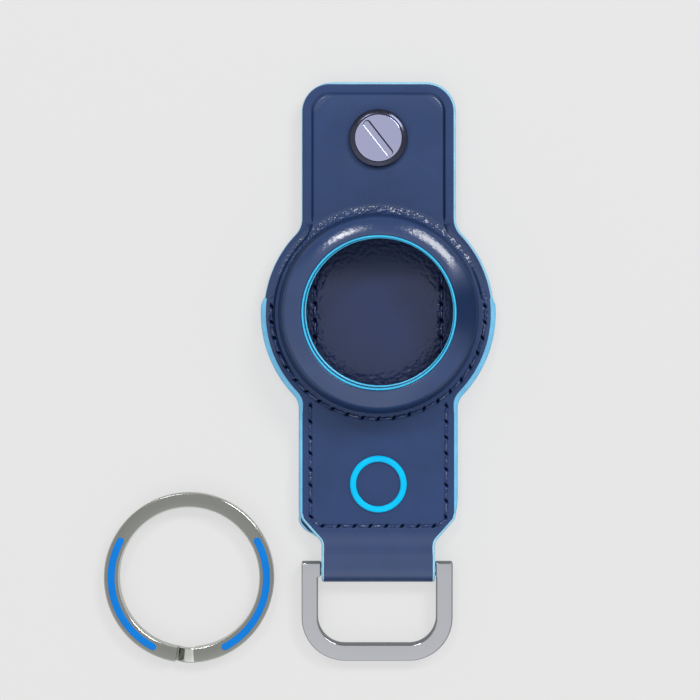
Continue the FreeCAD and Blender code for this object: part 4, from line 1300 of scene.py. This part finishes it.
class TAGHOLDER_OT_key_ring(bpy.types.Operator):
    """Flat split ring of two turns with two enamelled stretches"""
    bl_idname = "tagholder.key_ring"
    bl_label = "Key Ring"

    middle, enamel_half = 13.7, 0.625
    bed, bed_top, enamel_top = 2.6, 2.985, 2.955
    strip_half, strip_height, rounding = 1.3, 1.4, 0.28
    start, sweep, step_sweep, climb = -85.1, 347.1, 11.5, 1.55
    bright_start, bright_end, bright_height = 266, 273.5, 1.6

    def execute(self, context):
        colours = context.scene.tag_holder.colours
        steel = metal_material("brushed_spring_steel", colours.ring[:], 0.16, 0.24, 1.2 * MM)
        # A much lighter copy of the ring's steel, a painted highlight, for its rounded edges and the top of
        # the step between its turns.
        bright = metal_material("ground_spring_steel", toned(colours.ring, 2.6), 0.1, 0.16, 1.2 * MM)
        enamel = enamel_material("blue_ring_enamel", colours.enamel[:])
        ring = self.turns()
        for name, node, start, end in (("enamel_arc_right", "enamel_right", -65, 31),
                                       ("enamel_arc_left", "enamel_left", 149, 245)):
            cut_out(ring, self.enamel_arc(start, end, self.bed_top))
            fill = self.enamel_arc(start, end, self.enamel_top)
            round_edges(fill, 0.05, 2)
            finish(fill, name, enamel, "key_ring", (node,), 40)
        finish(ring, "key_ring_steel", steel, "key_ring", ("split_ring",), 35)
        ring.data.materials.append(bright)
        # Painted highlight: the rounded edges and the step's top get the lighter steel.
        for face in ring.data.polygons:
            turn = round_place(*(face.center.xy / MM - Vector(KEY_RING)))[1]
            upper = face.normal.z > 0.5 and face.center.z > self.bright_height * MM
            step = upper and self.bright_start < turn < self.bright_end
            if step or 0.1 < face.normal.z < 0.95:
                face.material_index = 1
        return {"FINISHED"}

    def turns(self):
        """Sweep a rounded strip through two turns, with a sloping step between them."""
        near, far = (self.middle + side * (self.strip_half - self.rounding) for side in (-1, 1))
        low, high = self.rounding, self.strip_height - self.rounding
        section = []
        for across, up, start in ((far, high, 0), (near, high, 90), (near, low, 180), (far, low, 270)):
            section += arc((across, up), self.rounding, start, start + 112.5, 5)
        step_start = self.start + self.sweep
        step_end = step_start + self.step_sweep
        stations = [self.start + step * self.sweep / 160 for step in range(161)]
        stations += [step_start + step * self.step_sweep / 10 for step in range(1, 11)]
        stations += [step_end + step * self.sweep / 160 for step in range(1, 161)]
        rows = []
        for angle in stations:
            share = min(max((angle - step_start) / self.step_sweep, 0), 1)
            climb = self.climb * (1 - (1 - share) ** 2.2)
            turn = math.radians(angle)
            rows.append([(KEY_RING[0] + radius * math.cos(turn), KEY_RING[1] + radius * math.sin(turn),
                          height + climb) for radius, height in section])
        ring = weld(make_sheet("ring", rows, closed=True))
        cap_ends(ring)
        return weld(ring)

    def enamel_arc(self, start, end, high):
        """Round-ended arc of enamel from the bed up to a height."""
        half = self.enamel_half
        reach = math.degrees(half / self.middle)
        first, last = start + reach, end - reach
        first_spot, last_spot = (arc(KEY_RING, self.middle, angle, angle, 1)[0] for angle in (first, last))
        points = arc(KEY_RING, self.middle + half, first, last, 48)
        points += arc(last_spot, half, last, last + 180, 12)
        points += arc(KEY_RING, self.middle - half, last, first, 48)
        points += arc(first_spot, half, first + 180, first + 360, 12)
        piece = make_loop("enamel", lift(points, self.bed))
        edit_all(piece, "EDGE")
        bpy.ops.mesh.edge_face_add()
        return extrude(piece, high - self.bed)


class TAGHOLDER_OT_badge(bpy.types.Operator):
    """Plain raised ring on the neck"""
    bl_idname = "tagholder.badge"
    bl_label = "Badge"

    place = (0, -30)
    inner, outer = 3.9, 5.0
    foot, side, crown = -0.05, 0.3, 0.3

    def execute(self, context):
        middle, half = (self.inner + self.outer) / 2, (self.outer - self.inner) / 2
        turns = [math.radians(180 - step * 18) for step in range(1, 10)]
        section = [(self.inner, self.foot), (self.inner, self.side)]
        section += [(middle + half * math.cos(turn), self.side + self.crown * math.sin(turn))
                    for turn in turns]
        section += [(self.outer, self.side), (self.outer, self.foot)]
        badge = spin_ring("badge", section, self.place, 128, FACE)
        material = enamel_material("cyan_badge_enamel", context.scene.tag_holder.colours.badge[:])
        finish(badge, "badge_annulus", material, "holder", ("badge_ring",), 40)
        return {"FINISHED"}


class TAGHOLDER_OT_stage(bpy.types.Operator):
    """Pale floor, soft studio light and the camera straight above"""
    bl_idname = "tagholder.stage"
    bl_label = "Stage"

    camera_place = (-0.00498, -0.00642, 0.4)
    view_width = 0.1232
    floor_gap = 0.00003

    def execute(self, context):
        scene = context.scene
        deselect()
        bpy.ops.mesh.primitive_plane_add(size=8, location=(0, 0, -self.floor_gap))
        floor = context.object
        floor.name = "studio_floor"
        floor.data.materials.append(self.floor_material(scene.tag_holder.colours.floor[:]))
        self.lamp("key_softbox", azimuth=49, polar=43, size=(0.8, 0.5), power=16)
        self.lamp("fill_softbox", azimuth=113, polar=36, size=(0.36, 0.26), power=7)
        self.light_room(scene)
        bpy.ops.object.camera_add(location=self.camera_place, rotation=(0, 0, 0))
        camera = context.object
        camera.data.sensor_width = 36
        camera.data.lens = camera.data.sensor_width * (self.camera_place[2] - FACE * MM) / self.view_width
        camera.data.clip_start, camera.data.clip_end = 0.01, 20
        scene.camera = camera
        scene.view_settings.view_transform = "Standard"
        return {"FINISHED"}

    def floor_material(self, colour):
        """Matt paper sweep, evenly lit: the camera sees its own pale tone with a soft shadow on it, and so do
        mirrors, dimmed away from the key ring."""
        material, tree, _, place = new_material("matt_paper_floor", Base_Color=colour, Roughness=0.9,
                                                Specular_IOR_Level=0.0)
        path = add_node(tree, "LightPath", {})
        seen = path["Is Camera Ray"]
        for ray in ("Is Glossy Ray", "Is Transmission Ray"):
            seen = add_node(tree, "Math", {0: seen, 1: path[ray]}, operation="MAXIMUM")[0]
        seen = add_node(tree, "MapRange", {"Value": seen, "To Max": 0.75})[0]
        away = add_node(tree, "VectorMath", {0: place, 1: Vector((*KEY_RING, 0)) * MM},
                        operation="DISTANCE")["Value"]
        dimmed = add_node(tree, "MapRange", {"Value": away, "From Min": 16.5 * MM, "From Max": 18.5 * MM,
                                             "To Min": 1.0, "To Max": 0.2})[0]
        level = add_node(tree, "MapRange", {"Value": path["Is Glossy Ray"], "To Min": 1.0,
                                            "To Max": dimmed})[0]
        glow = add_node(tree, "Emission", {"Color": colour, "Strength": level})[0]
        paper = tree.nodes["Principled BSDF"].outputs[0]
        even = add_node(tree, "MixShader", {0: seen, 1: paper, 2: glow})[0]
        tree.links.new(even, tree.nodes["Material Output"].inputs["Surface"])
        return material

    def light_room(self, scene):
        """Grey room light, brightest overhead and on the near side, dimmer on the right and the far side."""
        world = scene.world or bpy.data.worlds.new("World")
        scene.world = world
        world.use_nodes = True
        tree = world.node_tree
        way = add_node(tree, "TexCoord", {})["Generated"]
        axes = add_node(tree, "SeparateXYZ", {0: way})
        level = 0.92
        for axis, start, end, change in (("X", 0.05, 0.45, 0.6), ("X", -0.05, -0.4, 0.85),
                                         ("Y", 0.3, 0.55, 0.45), ("Y", -0.05, -0.4, 1.3)):
            turned = add_node(tree, "MapRange", {"Value": axes[axis], "From Min": start, "From Max": end,
                                                 "To Min": 1.0, "To Max": change},
                              interpolation_type="SMOOTHSTEP")[0]
            level = add_node(tree, "Math", {0: level, 1: turned}, operation="MULTIPLY")[0]
        level = add_node(tree, "MapRange", {"Value": axes["Z"], "From Min": 0.28, "From Max": 0.45,
                                            "To Min": 0.55, "To Max": level},
                         interpolation_type="SMOOTHSTEP")[0]
        tree.links.new(level, tree.nodes["Background"].inputs["Strength"])
        tree.nodes["Background"].inputs["Color"].default_value = linear("#ffffff")

    def lamp(self, name, azimuth, polar, size, power, distance=2.0):
        """Rectangular softbox aimed at the holder."""
        turn, lean = math.radians(azimuth), math.radians(polar)
        way = Vector((math.sin(lean) * math.cos(turn), math.sin(lean) * math.sin(turn), math.cos(lean)))
        bpy.ops.object.light_add(type="AREA", location=way * distance)
        lamp = bpy.context.object
        lamp.name = name
        lamp.rotation_euler = way.to_track_quat("Z", "Y").to_euler()
        lamp.data.shape = "RECTANGLE"
        lamp.data.size, lamp.data.size_y = size
        lamp.data.energy = power


class TAGHOLDER_PT_panel(bpy.types.Panel):
    bl_idname = "TAGHOLDER_PT_panel"
    bl_label = "Tag Holder"
    bl_space_type = "VIEW_3D"
    bl_region_type = "UI"
    bl_category = "Tag Holder"

    def draw(self, context):
        layout = self.layout
        for group in (context.scene.tag_holder.sizes, context.scene.tag_holder.colours):
            box = layout.box()
            for name in group.__annotations__:
                box.prop(group, name)
        for operator in OPERATORS:
            layout.operator(operator.bl_idname)


OPERATORS = (TAGHOLDER_OT_front_leather, TAGHOLDER_OT_back_leather, TAGHOLDER_OT_edge_paint,
             TAGHOLDER_OT_stitches, TAGHOLDER_OT_screw, TAGHOLDER_OT_d_ring, TAGHOLDER_OT_key_ring,
             TAGHOLDER_OT_badge, TAGHOLDER_OT_stage)
CLASSES = (HolderSizes, HolderColours, HolderSettings) + OPERATORS + (TAGHOLDER_PT_panel,)


def register():
    for kind in CLASSES:
        bpy.utils.register_class(kind)
    bpy.types.Scene.tag_holder = PointerProperty(type=HolderSettings)


def unregister():
    del bpy.types.Scene.tag_holder
    for kind in reversed(CLASSES):
        bpy.utils.unregister_class(kind)


def main():
    register()
    bpy.ops.tagholder.front_leather()
    bpy.ops.tagholder.back_leather()
    bpy.ops.tagholder.edge_paint()
    bpy.ops.tagholder.stitches()
    bpy.ops.tagholder.screw()
    bpy.ops.tagholder.d_ring()
    bpy.ops.tagholder.key_ring()
    bpy.ops.tagholder.badge()
    bpy.ops.tagholder.stage()


if __name__ == "__main__":
    main()
